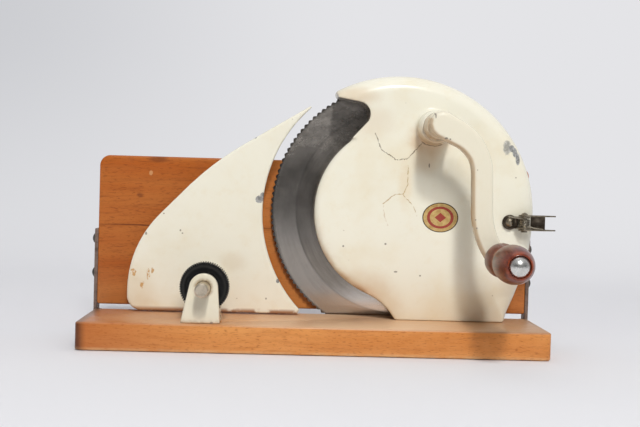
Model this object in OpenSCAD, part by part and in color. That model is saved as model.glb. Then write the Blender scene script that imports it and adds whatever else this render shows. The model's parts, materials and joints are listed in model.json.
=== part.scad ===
// Hand crank bread slicer with a round toothed blade, a thickness fence and a folding loaf tray.
// Origin: middle of the base's underside. X runs along the base, Y from the user to the loaf, Z up.
// Lengths in millimetres, angles in degrees.

/* [Base] */
// Length of the wooden base
base_w = 340; // [330:1:360]
// Depth of the wooden base
base_d = 80; // [78:1:90]
// Thickness of the wooden base
base_t = 20; // [18:1:24]
// Radius of the four upright corners
base_r = 3.2; // [2:0.2:6]

/* [Blade] */
// Diameter over the teeth
blade_d = 200; // [190:1:204]
// Thickness of the disc
blade_t = 1.6; // [1.2:0.1:2]
// Number of teeth
blade_teeth = 135; // [100:1:150]
// Depth of a tooth
tooth_h = 1.6; // [1:0.1:2.2]
// Blade axis, from the middle of the base
blade_x = 65; // [60:1:68]
// Height of the lowest tooth above the table
blade_low = 2; // [2:0.5:6]
// Gap between the base's back edge and the blade
blade_gap = 2.4; // [2:0.1:3]

/* [Housing] */
// Depth of the housing in front of the base's back edge
house_depth = 38; // [37:0.5:42]
// Wall thickness
house_wall = 3; // [2.5:0.25:4]
// Radius of the rounded rim
house_rim = 25; // [22:1:27]
// Radius of the drum that leaves the blade bare
belly_r = 67; // [65:0.5:69]
// Radius of the drum's front edge
belly_edge = 5; // [3:0.5:6]
// Radius of the notch under the hood
notch_r = 9.4; // [8:0.2:10]
// Radius of the right side below the blade axis
flank_r = 168; // [150:2:190]
// Radius that draws the front back to the foot
foot_round = 30; // [29:1:34]
// Thickness of the foot
foot_t = 12; // [10:1:14]

/* [Gears] */
// Gear module
gear_m = 2; // [1.9:0.05:2]
// Teeth on the crank pinion
pinion_teeth = 20; // [18:1:20]
// Teeth on the blade gear
gear_teeth = 48; // [46:1:48]
// Face width of both gears
gear_t = 8; // [6:0.5:9]
// Direction from the blade axis to the crank axis
crank_dir = 72; // [70:1:76]
// Play between the tooth flanks
backlash = 0.3; // [0.2:0.05:0.5]

/* [Crank] */
// Diameter of the crank shaft
shaft_d = 12; // [10:0.5:13]
// Width of the arm
arm_w = 15; // [13:0.5:16]
// Thickness of the arm
arm_t = 12; // [10:0.5:13]
// Rounding of the arm's edges
arm_edge = 3; // [2:0.5:4.5]
// Length of the bearing boss on the housing
boss_l = 18; // [15:1:20]
// Length of the arm's hub
hub_l = 19.5; // [17:0.5:22]
// Length of the grip
grip_l = 66; // [60:1:70]
// Largest radius of the grip
grip_r = 13.2; // [12.2:0.2:14.2]
// Diameter of the stud in the grip
stud_d = 8; // [7:0.5:9]

/* [Fence] */
// Thickness of the fence plate
fence_t = 6; // [5:0.5:7]
// Slice thickness at rest
slice_t = 10; // [9:0.5:12]
// Gap between the base and the fence
fence_low = 1; // [0.6:0.1:1.5]
// Gap between the blade's teeth and the fence
fence_gap = 6; // [5:0.5:8]
// Fence travel towards the user
travel_out = 8; // [5:0.5:9]
// Fence travel towards the blade
travel_in = 9; // [6:0.5:9]
// Diameter of the threaded spindle
spindle_d = 10; // [9:0.5:11]
// Spindle axis, from the middle of the base
spindle_x = -80.4; // [-86:0.2:-76]
// Height of the spindle above the base
spindle_h = 25.5; // [24:0.5:27]

/* [Thumbwheel] */
// Diameter of the wheel
wheel_d = 36; // [34:0.2:38]
// Thickness of the wheel
wheel_t = 13; // [11:0.5:14]
// Number of knurls
wheel_knurls = 64; // [48:2:72]
// Thickness of each bracket ear
ear_t = 6; // [5:0.5:7]

/* [Tray] */
// Height of the upright tray board
tray_h = 117.5; // [105:0.5:130]
// Radius of the tray's top corners
tray_r = 8; // [4:0.5:12]
// Thickness of the end strips
strip_t = 2.5; // [2:0.25:3]
// Width of the end strips
strip_w = 14; // [12:0.5:16]
// Height of the end strips above the base
strip_h = 62; // [58:1:68]
// Gap between the base and the upright tray board
tray_gap = 2.5; // [1.5:0.5:4]
// Distance of the upright tray board behind the base
tray_back = 9; // [8:0.5:11]

/* [Latch] */
// Thickness of the latch sheet
sheet_t = 1; // [0.8:0.1:1.1]
// Height of the latch over both plates
latch_h = 11.6; // [11.4:0.1:13]
// Length of the latch from pin to prong tip
latch_l = 23.7; // [20:0.5:26]
// Wire diameter of the latch spring
wire_d = 0.9; // [0.8:0.05:0.9]
// Curls in the latch spring
coils = 4; // [3:1:4]

/* [Fits] */
// Radial clearance of a shaft that turns in its hole
run_fit = 0.06; // [0.03:0.01:0.09]
// Radial clearance of a fastener in its hole
bolt_fit = 0.05; // [0.02:0.01:0.08]
// Gap between faces that move past each other
face_gap = 0.4; // [0.35:0.05:0.5]

/* [Hidden] */
$fn = 64;
e = 0.01;
base_b = base_d / 2;
blade_r = blade_d / 2;
blade_z = blade_r + blade_low;
blade_y = base_b + blade_gap;
blade_back = blade_y + blade_t;
blade_rest = 0.7;

tip_gap = 1.2;
house_r = blade_r + tip_gap + house_wall;
// the housing's own centre, from the blade axis
house_off = [-1.2, 0.4] * (blade_r / 100);
house_y = base_b - house_depth;
guard_y = blade_back - 0.5;
hood = [-36, 73.5] * (blade_r / 100);
hood_slope = -11.5;
beak_x = -51 * blade_r / 100;
notch_in = 0.08;
foot_dir = 247.4;
foot_fillet = 47;

pinion_r = gear_m * pinion_teeth / 2;
gear_r = gear_m * gear_teeth / 2;
centres = pinion_r + gear_r;
crank_x = blade_x + centres * cos(crank_dir);
crank_z = blade_z + centres * sin(crank_dir);
gear_y = house_y + 20;
plate_y = gear_y + gear_t + 3;
plate_t = 3;
plate_r = gear_r + 6;
boss_in = house_y + 14;
axle_r = 6;
axle_boss = house_y + 18;
hub_r = 16;
screw_ring = gear_r + gear_m + 7;
screw_dirs = [158, 262, 22];
cap_y = blade_back + face_gap;

shaft_r = shaft_d / 2;
bush_r = shaft_r + 2.5;
boss_r1 = 13.2;
boss_r2 = 12;
boss_y = house_y - boss_l;
hub_y = boss_y - face_gap;
arm_y = hub_y - hub_l;
arm_f = arm_y - arm_t;
arm_hub_r = 10.5;
// arm path: straight, bend, straight, counter bend
arm_a0 = -27.4;
arm_l0 = 13.4;
arm_r1 = 32;
arm_t1 = 60.8;
arm_l1 = 27.3;
arm_r2 = 54.3;
arm_t2 = 38.3;
arm_a1 = arm_a0 - arm_t1;
arm_a2 = arm_a1 + arm_t2;
function way(a) = [cos(a), sin(a)];
arm_p1 = arm_l0 * way(arm_a0);
arm_c1 = arm_p1 + arm_r1 * way(arm_a0 - 90);
arm_p2 = arm_c1 + arm_r1 * way(arm_a1 + 90);
arm_p3 = arm_p2 + arm_l1 * way(arm_a1);
arm_c2 = arm_p3 + arm_r2 * way(arm_a1 + 90);
arm_p4 = arm_c2 + arm_r2 * way(arm_a2 - 90);
stud_r = stud_d / 2;
grip_b = arm_f - face_gap;
grip_f = grip_b - grip_l;
dome_r = 7.1;
dome_sink = 2.5;

fence_b = blade_y - slice_t;
fence_f = fence_b - fence_t;
fence_z = base_t + fence_low;
fence_c = [blade_x + 3, blade_z - 2];
fence_r = blade_r + fence_gap + 3;
spindle_r = spindle_d / 2;
spindle_z = base_t + spindle_h;
ear_f = -base_b + 6;
slot_f = ear_f + ear_t;
slot_b = slot_f + wheel_t + 2 * face_gap;
ear_b = slot_b + ear_t;
pin_out = travel_in + 10;
wheel_r = wheel_d / 2;
insert_r = spindle_r + 3;
ear_r = 10.4;
slide_w = 12;
slide_h = 6.5;
channel_t = 1.5;
channel_w = slide_w + 2 * (channel_t + 0.35);
channel_h = 9;
slide_f = ear_b + 2;
channel_f = slide_f - travel_out - 1;
lug_t = 4;

// the tray folds back until its face is level with the base
tray_f = base_b + tray_back;
tray_z = base_t + tray_gap;
tray_t = base_t;
pin_y = tray_f + strip_w / 2;
pin_z = base_t - strip_w / 2;
strip_x = base_w / 2 + 0.3;
plate_x = base_w / 2 - strip_t;
eye_r = 5;
pin_r = 2.5;
strip_screws = [27, 54];
strip_head = [4.7, 2.7];

latch_x = blade_x + house_r - 13.9;
latch_y = house_y - 6;
latch_z = blade_z - 4.5;
latch_pin_r = 1.6;
coil_r = 3.6;
wire_r = wire_d / 2;
ear_gap = 0.3;
ear_top = latch_z + latch_h / 2 - sheet_t - ear_gap;
ear_low = latch_z - latch_h / 2 + sheet_t + ear_gap;
coil_room = ear_top - ear_low - 2 * sheet_t;
coil_pitch = (coil_room - wire_d - 0.3) / coils;
web_y = latch_y + coil_r + wire_r + 0.05;
clip_x = latch_x - 10;
clip_r = 5.6;

// solid along Y from y0 to y1, drawn in the X-Z plane
module along_y(y0, y1) {
    translate([0, y1, 0])
        rotate([90, 0, 0])
            linear_extrude(y1 - y0)
                children();
}

// solid along X from x0 to x1, drawn in the Y-Z plane
module along_x(x0, x1) {
    translate([x0, 0, 0])
        rotate([90, 0, 90])
            linear_extrude(x1 - x0)
                children();
}

// solid turned about Y, drawn as radius and Y
module turn_y() {
    rotate([-90, 0, 0])
        rotate_extrude($fn = 128)
            children();
}

module rod_y(r, y0, y1, r2 = 0) {
    translate([0, y0, 0])
        rotate([-90, 0, 0])
            cylinder(r1 = r, r2 = r2 > 0 ? r2 : r, h = y1 - y0);
}

module rod_x(r, x0, x1) {
    translate([x0, 0, 0])
        rotate([0, 90, 0])
            cylinder(r = r, h = x1 - x0);
}

// low dome on a flat face, for screw and rivet heads, rising along +Z
module dome(r, h) {
    ball = (r * r + h * h) / (2 * h);
    intersection() {
        translate([0, 0, h - ball])
            sphere(r = ball, $fn = 128);
        cylinder(r = r + 1, h = h + 1);
    }
}

module at_blade() {
    translate([blade_x, 0, blade_z])
        children();
}

module at_crank() {
    translate([crank_x, 0, crank_z])
        children();
}

module at_grip() {
    translate([crank_x + arm_p4[0], 0, crank_z + arm_p4[1]])
        children();
}

module at_spindle() {
    translate([spindle_x, 0, spindle_z])
        children();
}

// involute gear outline, tooth 0 on +X
function inv(a) = tan(a) * 180 / PI - a;
function flank(r, rb, half) = half - (r > rb ? inv(acos(rb / r)) : 0);
module gear_2d(teeth) {
    rp = gear_m * teeth / 2;
    rb = rp * cos(20);
    ra = rp + gear_m;
    rf = rp - 1.25 * gear_m;
    half = 90 / teeth + inv(20) - backlash / rp * 90 / PI;
    radii = [rf, (rb + rp) / 2, rp, (rp + ra) / 2, ra];
    n = len(radii);
    polygon([for (i = [0 : teeth - 1], k = [0 : 2 * n - 1])
        let (j = k < n ? k : 2 * n - 1 - k,
             a = i * 360 / teeth + (k < n ? -1 : 1) * flank(radii[j], rb, half))
        radii[j] * way(a)]);
}

// ring of n points between radii r0 and r1, two per tooth
module toothed_2d(n, r0, r1) {
    polygon([for (i = [0 : 4 * n - 1])
        let (r = i % 4 == 0 ? r1 : i % 4 == 2 ? r0 : r0 + (r1 - r0) * 0.6)
        r * way(i * 90 / n)]);
}

module bolt_y(r, y0, y1, head_r, head_h) {
    rod_y(r, y0, y1);
    translate([0, y1, 0])
        rotate([-90, 0, 0])
            dome(head_r, head_h);
}

module bolt_up(r, z0, z1, head_r, head_h) {
    translate([0, 0, z0])
        cylinder(r = r, h = z1 - z0);
    translate([0, 0, z0 - head_h])
        cylinder(r = head_r, h = head_h);
}

bolt_r = 3;
bolt_head_r = 6;
bolt_head_h = 4;
bolt_sink = 6;
house_bolts = [for (i = [0 : 2]) [blade_x + 7 + 31 * i, base_b - 8]];
ear_bolts = [for (s = [-1, 1]) [spindle_x + s * 9, (slot_f + slot_b) / 2]];
channel_screws_y = [slide_f + 4, base_b - 8];
hinge_screws_y = [base_b - 28, base_b - 12];
tray_screws_z = [for (h = strip_screws) base_t + h];

module base_board() {
    color([0.78, 0.50, 0.27])
    difference() {
        union() {
            translate([-base_w / 2 + base_r, -base_b, 0])
                cube([base_w - 2 * base_r, base_d, base_t]);
            translate([-base_w / 2, -base_b + base_r, 0])
                cube([base_w, base_d - 2 * base_r, base_t]);
            for (s = [-1, 1], t = [-1, 1])
                translate([s * (base_w / 2 - base_r), t * (base_b - base_r), 0])
                    cylinder(r = base_r, h = base_t);
        }
        for (p = concat(house_bolts, ear_bolts))
            translate([p[0], p[1], 0]) {
                translate([0, 0, -1])
                    cylinder(r = bolt_head_r + 1, h = bolt_sink + 1);
                cylinder(r = bolt_r + bolt_fit, h = base_t + 1);
            }
        translate([spindle_x - channel_w / 2, channel_f, base_t - channel_h])
            cube([channel_w, base_b - channel_f + 1, channel_h + 1]);
        for (y = channel_screws_y)
            translate([spindle_x, y, base_t - channel_h - 6])
                cylinder(r = 1.5 + bolt_fit, h = 8);
        for (s = [-1, 1]) {
            along_x(s > 0 ? plate_x : -base_w / 2 - 1, s > 0 ? base_w / 2 + 1 : -plate_x)
                hinge_plate_2d(1);
            for (y = hinge_screws_y)
                translate([s * base_w / 2, y, pin_z])
                    rod_x(1.5 + bolt_fit, -12, 12);
        }
    }
}

// hinge plate outline: a bar along the base end and an eye on the pin
module hinge_plate_2d(cut = 0) {
    translate([base_b - 34, pin_z - eye_r + 0.2])
        square([34 + (cut > 0 ? 1 : pin_y - base_b), 2 * eye_r - 0.4]);
    if (cut == 0)
        translate([pin_y, pin_z])
            circle(r = eye_r);
}

module housing_form(g, y1) {
    r = house_r - g;
    rim = house_rim - g;
    y0 = house_y + g;
    module rim_2d(ro) {
        translate([0, y0])
            square([ro - rim, y1 - y0]);
        translate([0, y0 + rim])
            square([ro, y1 - y0 - rim]);
        translate([ro - rim, y0 + rim])
            intersection() {
                circle(r = rim);
                translate([0, -rim])
                    square(rim);
            }
    }
    translate([blade_x + house_off[0], 0, blade_z + house_off[1]]) {
        turn_y()
            rim_2d(r);
        intersection() {
            translate([house_r - flank_r, 0, 0])
                turn_y()
                    rim_2d(flank_r - g);
            translate([0, y0 - 1, -blade_z])
                cube([house_r + 30, y1 - y0 + 2, blade_z]);
        }
    }
}

// the part of the outline that is cut away in front of the blade's bare side
module crescent_2d(g) {
    br = belly_r - g;
    nr = notch_r + g;
    top = hood + (nr - notch_in) * way(90 + hood_slope);
    low = hood + (nr - notch_in) * way(-42);
    tip_x = beak_x + g;
    tip = [tip_x, top[1] + (top[0] - tip_x) * tan(-hood_slope)];
    difference() {
        polygon([[-180, tip[1] + 50], tip + [-17, 50], tip, top, hood, low, (belly_r + 1.2 - g) * way(126),
            [0, 0], 120 * way(foot_dir), [-140, -125]]);
        circle(r = br, $fn = 128);
    }
    translate(hood)
        circle(r = nr);
    translate((belly_r + foot_fillet) * way(foot_dir))
        circle(r = foot_fillet + g);
}

module foot_round_cut(g) {
    r = foot_round - g;
    difference() {
        translate([0, house_y - 1, base_t - 1])
            cube([300, foot_round + 1, foot_round - 1]);
        translate([0, house_y + foot_round, base_t + foot_round - 2])
            rod_x(r, -1, 301);
    }
}

module belly_edge_cut() {
    at_blade()
        intersection() {
            turn_y()
                translate([belly_r - belly_edge, house_y])
                    difference() {
                        translate([0, -1])
                            square([belly_edge + 1, belly_edge + 1]);
                        translate([0, belly_edge])
                            circle(r = belly_edge);
                    }
            along_y(house_y - 2, house_y + 20)
                polygon([[0, 0], 130 * way(124), 160 * way(180), 130 * way(foot_dir)]);
        }
}

module house_bosses() {
    at_blade()
        rod_y(14, house_y + 1, axle_boss);
    at_crank()
        rod_y(bush_r + 4, house_y + 1, boss_in);
    for (a = screw_dirs)
        at_blade()
            translate([screw_ring * cos(a), 0, screw_ring * sin(a)])
                rod_y(5, house_y + 1, plate_y);
}

module housing() {
    color([0.93, 0.90, 0.82])
    difference() {
        union() {
            difference() {
                housing_form(0, guard_y);
                translate([0, house_y - 1, base_t - 60])
                    cube([600, 140, 60]);
                at_blade()
                    along_y(house_y - 2, guard_y + 2)
                        crescent_2d(0);
                belly_edge_cut();
                foot_round_cut(0);
                at_blade()
                    rod_y(blade_r + tip_gap, base_b, guard_y + 1);
                house_cavity();
            }
            house_bosses();
            at_crank()
                rod_y(boss_r2, boss_y, house_y + 2, boss_r1);
            translate([clip_x, 0, latch_z])
                rod_y(clip_r + 0.8, house_y - 0.2, house_y + 5);
        }
        at_blade()
            rod_y(axle_r, house_y + 5, axle_boss + 1);
        at_crank()
            rod_y(bush_r, boss_y - 1, boss_in + 1);
        for (a = screw_dirs)
            at_blade()
                translate([screw_ring * cos(a), 0, screw_ring * sin(a)])
                    rod_y(2 + bolt_fit, plate_y - 12, plate_y + 1);
        for (p = house_bolts)
            translate([p[0], p[1], base_t - 1])
                cylinder(r = bolt_r + bolt_fit, h = foot_t - 1);
        translate([clip_x, 0, latch_z])
            rod_y(1.7 + bolt_fit, house_y - 1, house_y + 12);
    }
}

module house_cavity() {
    difference() {
        housing_form(house_wall, base_b + 1);
        translate([0, house_y - 1, -60])
            cube([600, 140, 60 + base_t + foot_t]);
        at_blade()
            along_y(house_y, base_b + 2)
                crescent_2d(house_wall);
        foot_round_cut(house_wall);
    }
}

module housing_bolts() {
    color([0.45, 0.44, 0.42])
    for (p = house_bolts)
        translate([p[0], p[1], 0])
            bolt_up(bolt_r, bolt_sink, base_t + foot_t - 3, bolt_head_r, bolt_head_h);
}

module gear_plate() {
    color([0.62, 0.62, 0.60])
    difference() {
        union() {
            at_blade()
                rod_y(plate_r, plate_y, plate_y + plate_t);
            at_crank()
                rod_y(shaft_r + 9, plate_y, plate_y + plate_t);
            for (a = screw_dirs)
                at_blade()
                    translate([screw_ring * cos(a), 0, screw_ring * sin(a)])
                        rod_y(5, plate_y, plate_y + plate_t);
        }
        at_blade()
            rod_y(hub_r + 0.6, plate_y - 1, plate_y + plate_t + 1);
        at_crank()
            rod_y(shaft_r + run_fit, plate_y - 1, plate_y + plate_t + 1);
        for (a = screw_dirs)
            at_blade()
                translate([screw_ring * cos(a), 0, screw_ring * sin(a)])
                    rod_y(2 + bolt_fit, plate_y - 1, plate_y + plate_t + 1);
    }
}

module plate_screws() {
    color([0.50, 0.49, 0.47])
    for (a = screw_dirs)
        at_blade()
            translate([screw_ring * cos(a), 0, screw_ring * sin(a)])
                bolt_y(2, plate_y - 10, plate_y + plate_t, 4, 2);
}

module crank_bush() {
    color([0.72, 0.55, 0.27])
    at_crank()
        difference() {
            rod_y(bush_r, boss_y, boss_in);
            rod_y(shaft_r + run_fit, boss_y - 1, boss_in + 1);
        }
}

module blade_axle() {
    color([0.60, 0.60, 0.59])
    at_blade()
        difference() {
            rod_y(axle_r, house_y + 5, cap_y);
            rod_y(3 + bolt_fit, cap_y - 15, cap_y + 1);
        }
}

module blade_cap() {
    color([0.66, 0.66, 0.65])
    at_blade()
        bolt_y(3, cap_y - 13, cap_y, 11, 2.2);
}

module blade_disc() {
    color([0.42, 0.42, 0.41])
    at_blade()
        difference() {
            union() {
                along_y(blade_back - blade_rest, blade_back)
                    toothed_2d(blade_teeth, blade_r - tooth_h, blade_r);
                rod_y(blade_r - 20, blade_y, blade_back - blade_rest + e, blade_r - 3);
            }
            rod_y(axle_r + 5 + bolt_fit, blade_y - 1, blade_back + 1);
            for (a = [30, 150, 270])
                rotate([0, a, 0])
                    translate([hub_r + 5, 0, 0])
                        rod_y(2 + bolt_fit, blade_y - 1, blade_back + 1);
        }
}

module blade_gear() {
    color([0.55, 0.54, 0.51])
    at_blade()
        difference() {
            union() {
                along_y(gear_y, gear_y + gear_t)
                    rotate(crank_dir)
                        gear_2d(gear_teeth);
                rod_y(hub_r, axle_boss + face_gap, blade_y);
                rod_y(hub_r + 9, plate_y + plate_t + 0.6, blade_y);
                rod_y(axle_r + 5, blade_y - 1, blade_back);
            }
            rod_y(axle_r + 2, axle_boss, cap_y);
            for (a = [30, 150, 270])
                rotate([0, a, 0])
                    translate([hub_r + 5, 0, 0])
                        rod_y(2 + bolt_fit, plate_y + plate_t, blade_back + 1);
        }
}

module hub_bush() {
    color([0.72, 0.55, 0.27])
    at_blade()
        difference() {
            rod_y(axle_r + 2, axle_boss + face_gap, blade_back);
            rod_y(axle_r + run_fit, axle_boss, cap_y);
        }
}

module blade_screws() {
    color([0.52, 0.52, 0.50])
    at_blade()
        for (a = [30, 150, 270])
            rotate([0, a, 0])
                translate([hub_r + 5, 0, 0])
                    bolt_y(2, plate_y + plate_t + 1, blade_back, 4, 1.4);
}

module crank_shaft() {
    color([0.60, 0.60, 0.59])
    at_crank()
        difference() {
            rod_y(shaft_r, arm_y - 6, plate_y + plate_t);
            cross_hole(boss_in + 3.4);
            cross_hole(hub_y - hub_l / 2);
        }
}

module cross_hole(y) {
    translate([0, y, -30])
        cylinder(r = 2 + bolt_fit, h = 60);
}

module crank_pinion() {
    color([0.55, 0.54, 0.51])
    at_crank()
        difference() {
            union() {
                along_y(gear_y, gear_y + gear_t)
                    rotate(crank_dir + 180 + 180 / pinion_teeth)
                        gear_2d(pinion_teeth);
                rod_y(shaft_r + 5, boss_in + face_gap, gear_y + e);
            }
            rod_y(shaft_r + bolt_fit, boss_in, gear_y + gear_t + 1);
            cross_hole(boss_in + 3.4);
        }
}

module pinion_pin() {
    color([0.50, 0.49, 0.47])
    at_crank()
        translate([0, boss_in + 3.4, -shaft_r - 5])
            cylinder(r = 2, h = shaft_d + 10);
}

// outline of the arm's path grown by h: left side, outer end, right side, hub end
arm_steps = 8;
arm_path = concat([[0, 0, arm_a0]],
    [for (i = [0 : arm_steps])
        let (a = arm_a0 - arm_t1 * i / arm_steps, p = arm_c1 + arm_r1 * way(a + 90))
        [p[0], p[1], a]],
    [for (i = [0 : arm_steps])
        let (a = arm_a1 + arm_t2 * i / arm_steps, p = arm_c2 + arm_r2 * way(a - 90))
        [p[0], p[1], a]]);
// the arm is wider at its hub
arm_swell = 2;
function arm_side(i, s, h) =
    let (p = arm_path[i])
    [p[0], p[1]] + s * (h + arm_swell * max(0, 1 - i / 6)) * way(p[2] + 90);
function arm_outline(h) =
    let (n = len(arm_path) - 1)
    concat([for (i = [0 : n]) arm_side(i, 1, h)],
        [for (k = [1 : 5]) arm_p4 + h * way(arm_a2 + 90 - 30 * k)],
        [for (i = [n : -1 : 0]) arm_side(i, -1, h)],
        [for (k = [1 : 5]) (h + arm_swell) * way(arm_a0 - 90 - 30 * k)]);

// the arm as a stack of outlines that shrink at the front and back edges
module arm_form() {
    levels = concat(
        [for (a = [0 : 30 : 90]) [arm_edge * (1 - sin(a)), arm_y - arm_edge * (1 - cos(a))]],
        [for (a = [90 : -30 : 0]) [arm_edge * (1 - sin(a)), arm_f + arm_edge * (1 - cos(a))]]);
    n = len(arm_outline(1));
    points = [for (l = levels, p = arm_outline(arm_w / 2 - l[0])) [p[0], l[1], p[1]]];
    m = len(levels);
    skin = [for (j = [0 : m - 2], i = [0 : n - 1], t = [0, 1])
        let (a = j * n + i, b = j * n + (i + 1) % n)
        t == 0 ? [a, b, a + n] : [b, b + n, a + n]];
    // the flat faces as strips between points that lie across from each other
    half = n / 2;
    function pair(j) = [(j + n) % n, (half - 6 + half - j) % n];
    strips = [for (j = [-3 : half - 4])
        let (p = pair(j), q = pair(j + 1))
        p[0] == p[1] ? [p[0], q[0], q[1]] : q[0] == q[1] ? [p[0], q[0], p[1]] : [p[0], q[0], q[1], p[1]]];
    back = [for (f = strips) [for (i = [len(f) - 1 : -1 : 0]) f[i]]];
    front = [for (f = strips) [for (i = f) (m - 1) * n + i]];
    polyhedron(points = points, faces = concat(skin, back, front));
}

module crank_arm() {
    color([0.93, 0.90, 0.82])
    at_crank()
        difference() {
            union() {
                arm_form();
                rod_y(arm_hub_r, arm_y - 4, hub_y);
            }
            rod_y(shaft_r + bolt_fit, arm_y - 6, hub_y + 1);
            cross_hole(hub_y - hub_l / 2);
            translate([arm_p4[0], 0, arm_p4[1]])
                rod_y(stud_r + bolt_fit, arm_f - 1, arm_y + 1);
        }
}

module arm_pin() {
    color([0.50, 0.49, 0.47])
    at_crank()
        translate([0, hub_y - hub_l / 2, -arm_hub_r])
            cylinder(r = 2, h = 2 * arm_hub_r);
}

module handle_stud() {
    color([0.75, 0.75, 0.74])
    at_grip() {
        rod_y(stud_r, grip_f + dome_sink - face_gap, arm_y);
        translate([0, grip_f + dome_sink - face_gap, 0])
            rotate([90, 0, 0]) {
                cylinder(r = dome_r, h = 1);
                translate([0, 0, 1])
                    dome(dome_r, 4);
            }
    }
}

// grip: small bulb at the arm, a waist, and the large bulb with the stud's dome
module handle_grip() {
    small = grip_r - 1;
    color([0.52, 0.22, 0.15])
    at_grip()
        difference() {
            turn_y() {
                translate([0, grip_f])
                    square([grip_r - 5, grip_l]);
                translate([0, grip_b - 16])
                    square([small, 11]);
                translate([0, grip_b - 20])
                    square([small - 5, 20]);
                for (y = [grip_b - 5, grip_b - 16])
                    half_disc(small - 5, 5, y);
                translate([0, grip_f + 12])
                    square([grip_r, 19]);
                half_disc(grip_r - 12, 12, grip_f + 12);
                half_disc(grip_r - 8, 8, grip_f + 31);
            }
            rod_y(stud_r + run_fit, grip_f - 1, grip_b + 1);
            rod_y(dome_r + 0.4, grip_f - 1, grip_f + dome_sink);
        }
}

module half_disc(x, r, y) {
    translate([x, y])
        intersection() {
            circle(r = r);
            translate([0, -r])
                square(2 * r);
        }
}

// a polygon whose corners [x, z, r] are rounded by arcs
function unit(v) = v / norm(v);
function corner(p, q, s) =
    let (u = unit([p[0] - q[0], p[1] - q[1]]),
         v = unit([s[0] - q[0], s[1] - q[1]]),
         half = acos(u * v) / 2,
         m = unit(u + v),
         c = [q[0], q[1]] + m * q[2] / sin(half),
         a0 = atan2(-m[1], -m[0]),
         turn = sign(u[0] * v[1] - u[1] * v[0]),
         n = 12)
    q[2] < 0.1 ? [[q[0], q[1]]] :
    [for (i = [0 : n]) c + q[2] * way(a0 + turn * (90 - half) * (1 - 2 * i / n))];
function rounded(pts) =
    let (n = len(pts))
    [for (i = [0 : n - 1], p = corner(pts[(i + n - 1) % n], pts[i], pts[(i + 1) % n])) p];

module fence_2d() {
    fx = fence_c[0];
    fz = fence_c[1];
    k = blade_r / 100;
    left = fx - fence_r - 102.5 * k;
    heel = fx - 79.5 * k;
    difference() {
        polygon(rounded([
            [left, fence_z, 11 * k],
            [left, fence_z + 50 * k, 84 * k],
            [left + 63.3 * k, fence_z + 115.5 * k, 230 * k],
            [fx - 74 * k, fz + 82 * k, 0],
            [fx - 60 * k, fz + 60 * k, 0],
            [fx - 60 * k, fence_z + 3, 0],
            [heel, fence_z + 3, 0],
            [heel, fence_z, 0]]));
        translate(fence_c)
            circle(r = fence_r, $fn = 128);
    }
}

module fence_plate() {
    color([0.93, 0.90, 0.82])
    difference() {
        union() {
            along_y(fence_f, fence_b)
                fence_2d();
            at_spindle()
                rod_y(spindle_r + 4, fence_f - 8, fence_f + 1);
        }
        at_spindle() {
            rod_y(spindle_r + bolt_fit, fence_f - 9, fence_f);
            rod_y(spindle_r - 1 + bolt_fit, fence_f - 1, fence_b + 1);
        }
        translate([spindle_x, 0, base_t + 9])
            rod_y(1.5 + bolt_fit, fence_f - 1, fence_f + 4);
    }
}

module fence_spindle() {
    color([0.63, 0.61, 0.58])
    at_spindle() {
        rod_y(spindle_r - 1, ear_f - pin_out, ear_f - pin_out + 1, spindle_r);
        rod_y(spindle_r, ear_f - pin_out + 1, fence_f);
        rod_y(spindle_r - 1, fence_f - 1, fence_b);
    }
}

module fence_slide() {
    color([0.50, 0.49, 0.47])
    difference() {
        union() {
            translate([spindle_x - slide_w / 2, slide_f, base_t - slide_h - 1])
                cube([slide_w, fence_f - slide_f, slide_h]);
            translate([spindle_x - slide_w / 2, fence_f - lug_t, base_t - slide_h - 1])
                cube([slide_w, lug_t, slide_h + 15]);
        }
        translate([spindle_x, 0, base_t + 9])
            rod_y(1.5 + bolt_fit, fence_f - lug_t - 1, fence_f + 1);
    }
}

module slide_screw() {
    color([0.55, 0.54, 0.52])
    translate([spindle_x, 0, base_t + 9]) {
        rod_y(1.5, fence_f - lug_t, fence_f + 3.5);
        translate([0, fence_f - lug_t, 0])
            rotate([90, 0, 0])
                dome(3, 1.6);
    }
}

module guide_channel() {
    w = slide_w + 0.7;
    color([0.45, 0.44, 0.43])
    difference() {
        translate([spindle_x - channel_w / 2, channel_f, base_t - channel_h])
            cube([channel_w, base_b - channel_f, channel_h]);
        translate([spindle_x - w / 2, channel_f - 1, base_t - channel_h + channel_t])
            cube([w, base_b - channel_f + 2, channel_h]);
        for (y = channel_screws_y)
            translate([spindle_x, y, base_t - channel_h]) {
                translate([0, 0, -1])
                    cylinder(r = 1.5 + bolt_fit, h = channel_t + 2);
                cylinder(r1 = 1.5 + bolt_fit, r2 = 1.5 + bolt_fit + channel_t, h = channel_t + e);
            }
    }
}

module channel_screws() {
    color([0.55, 0.54, 0.52])
    for (y = channel_screws_y)
        translate([spindle_x, y, base_t - channel_h]) {
            translate([0, 0, -5.5])
                cylinder(r = 1.5, h = 6);
            cylinder(r1 = 1.5, r2 = 1.5 + channel_t, h = channel_t);
        }
}

module thumbwheel() {
    color([0.10, 0.10, 0.10])
    at_spindle()
        difference() {
            along_y(slot_f + face_gap, slot_b - face_gap)
                toothed_2d(wheel_knurls, wheel_r - 0.9, wheel_r);
            rod_y(insert_r, slot_f - 1, slot_b + 1);
            for (y = [slot_f, slot_b - 2])
                difference() {
                    rod_y(wheel_r - 4.2, y - 1, y + 2.4);
                    rod_y(insert_r + 2, y - 2, y + 3);
                }
        }
}

module wheel_insert() {
    color([0.72, 0.56, 0.27])
    at_spindle()
        difference() {
            rod_y(insert_r, slot_f + face_gap, slot_b - face_gap);
            rod_y(spindle_r + run_fit, slot_f, slot_b);
        }
}

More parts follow.
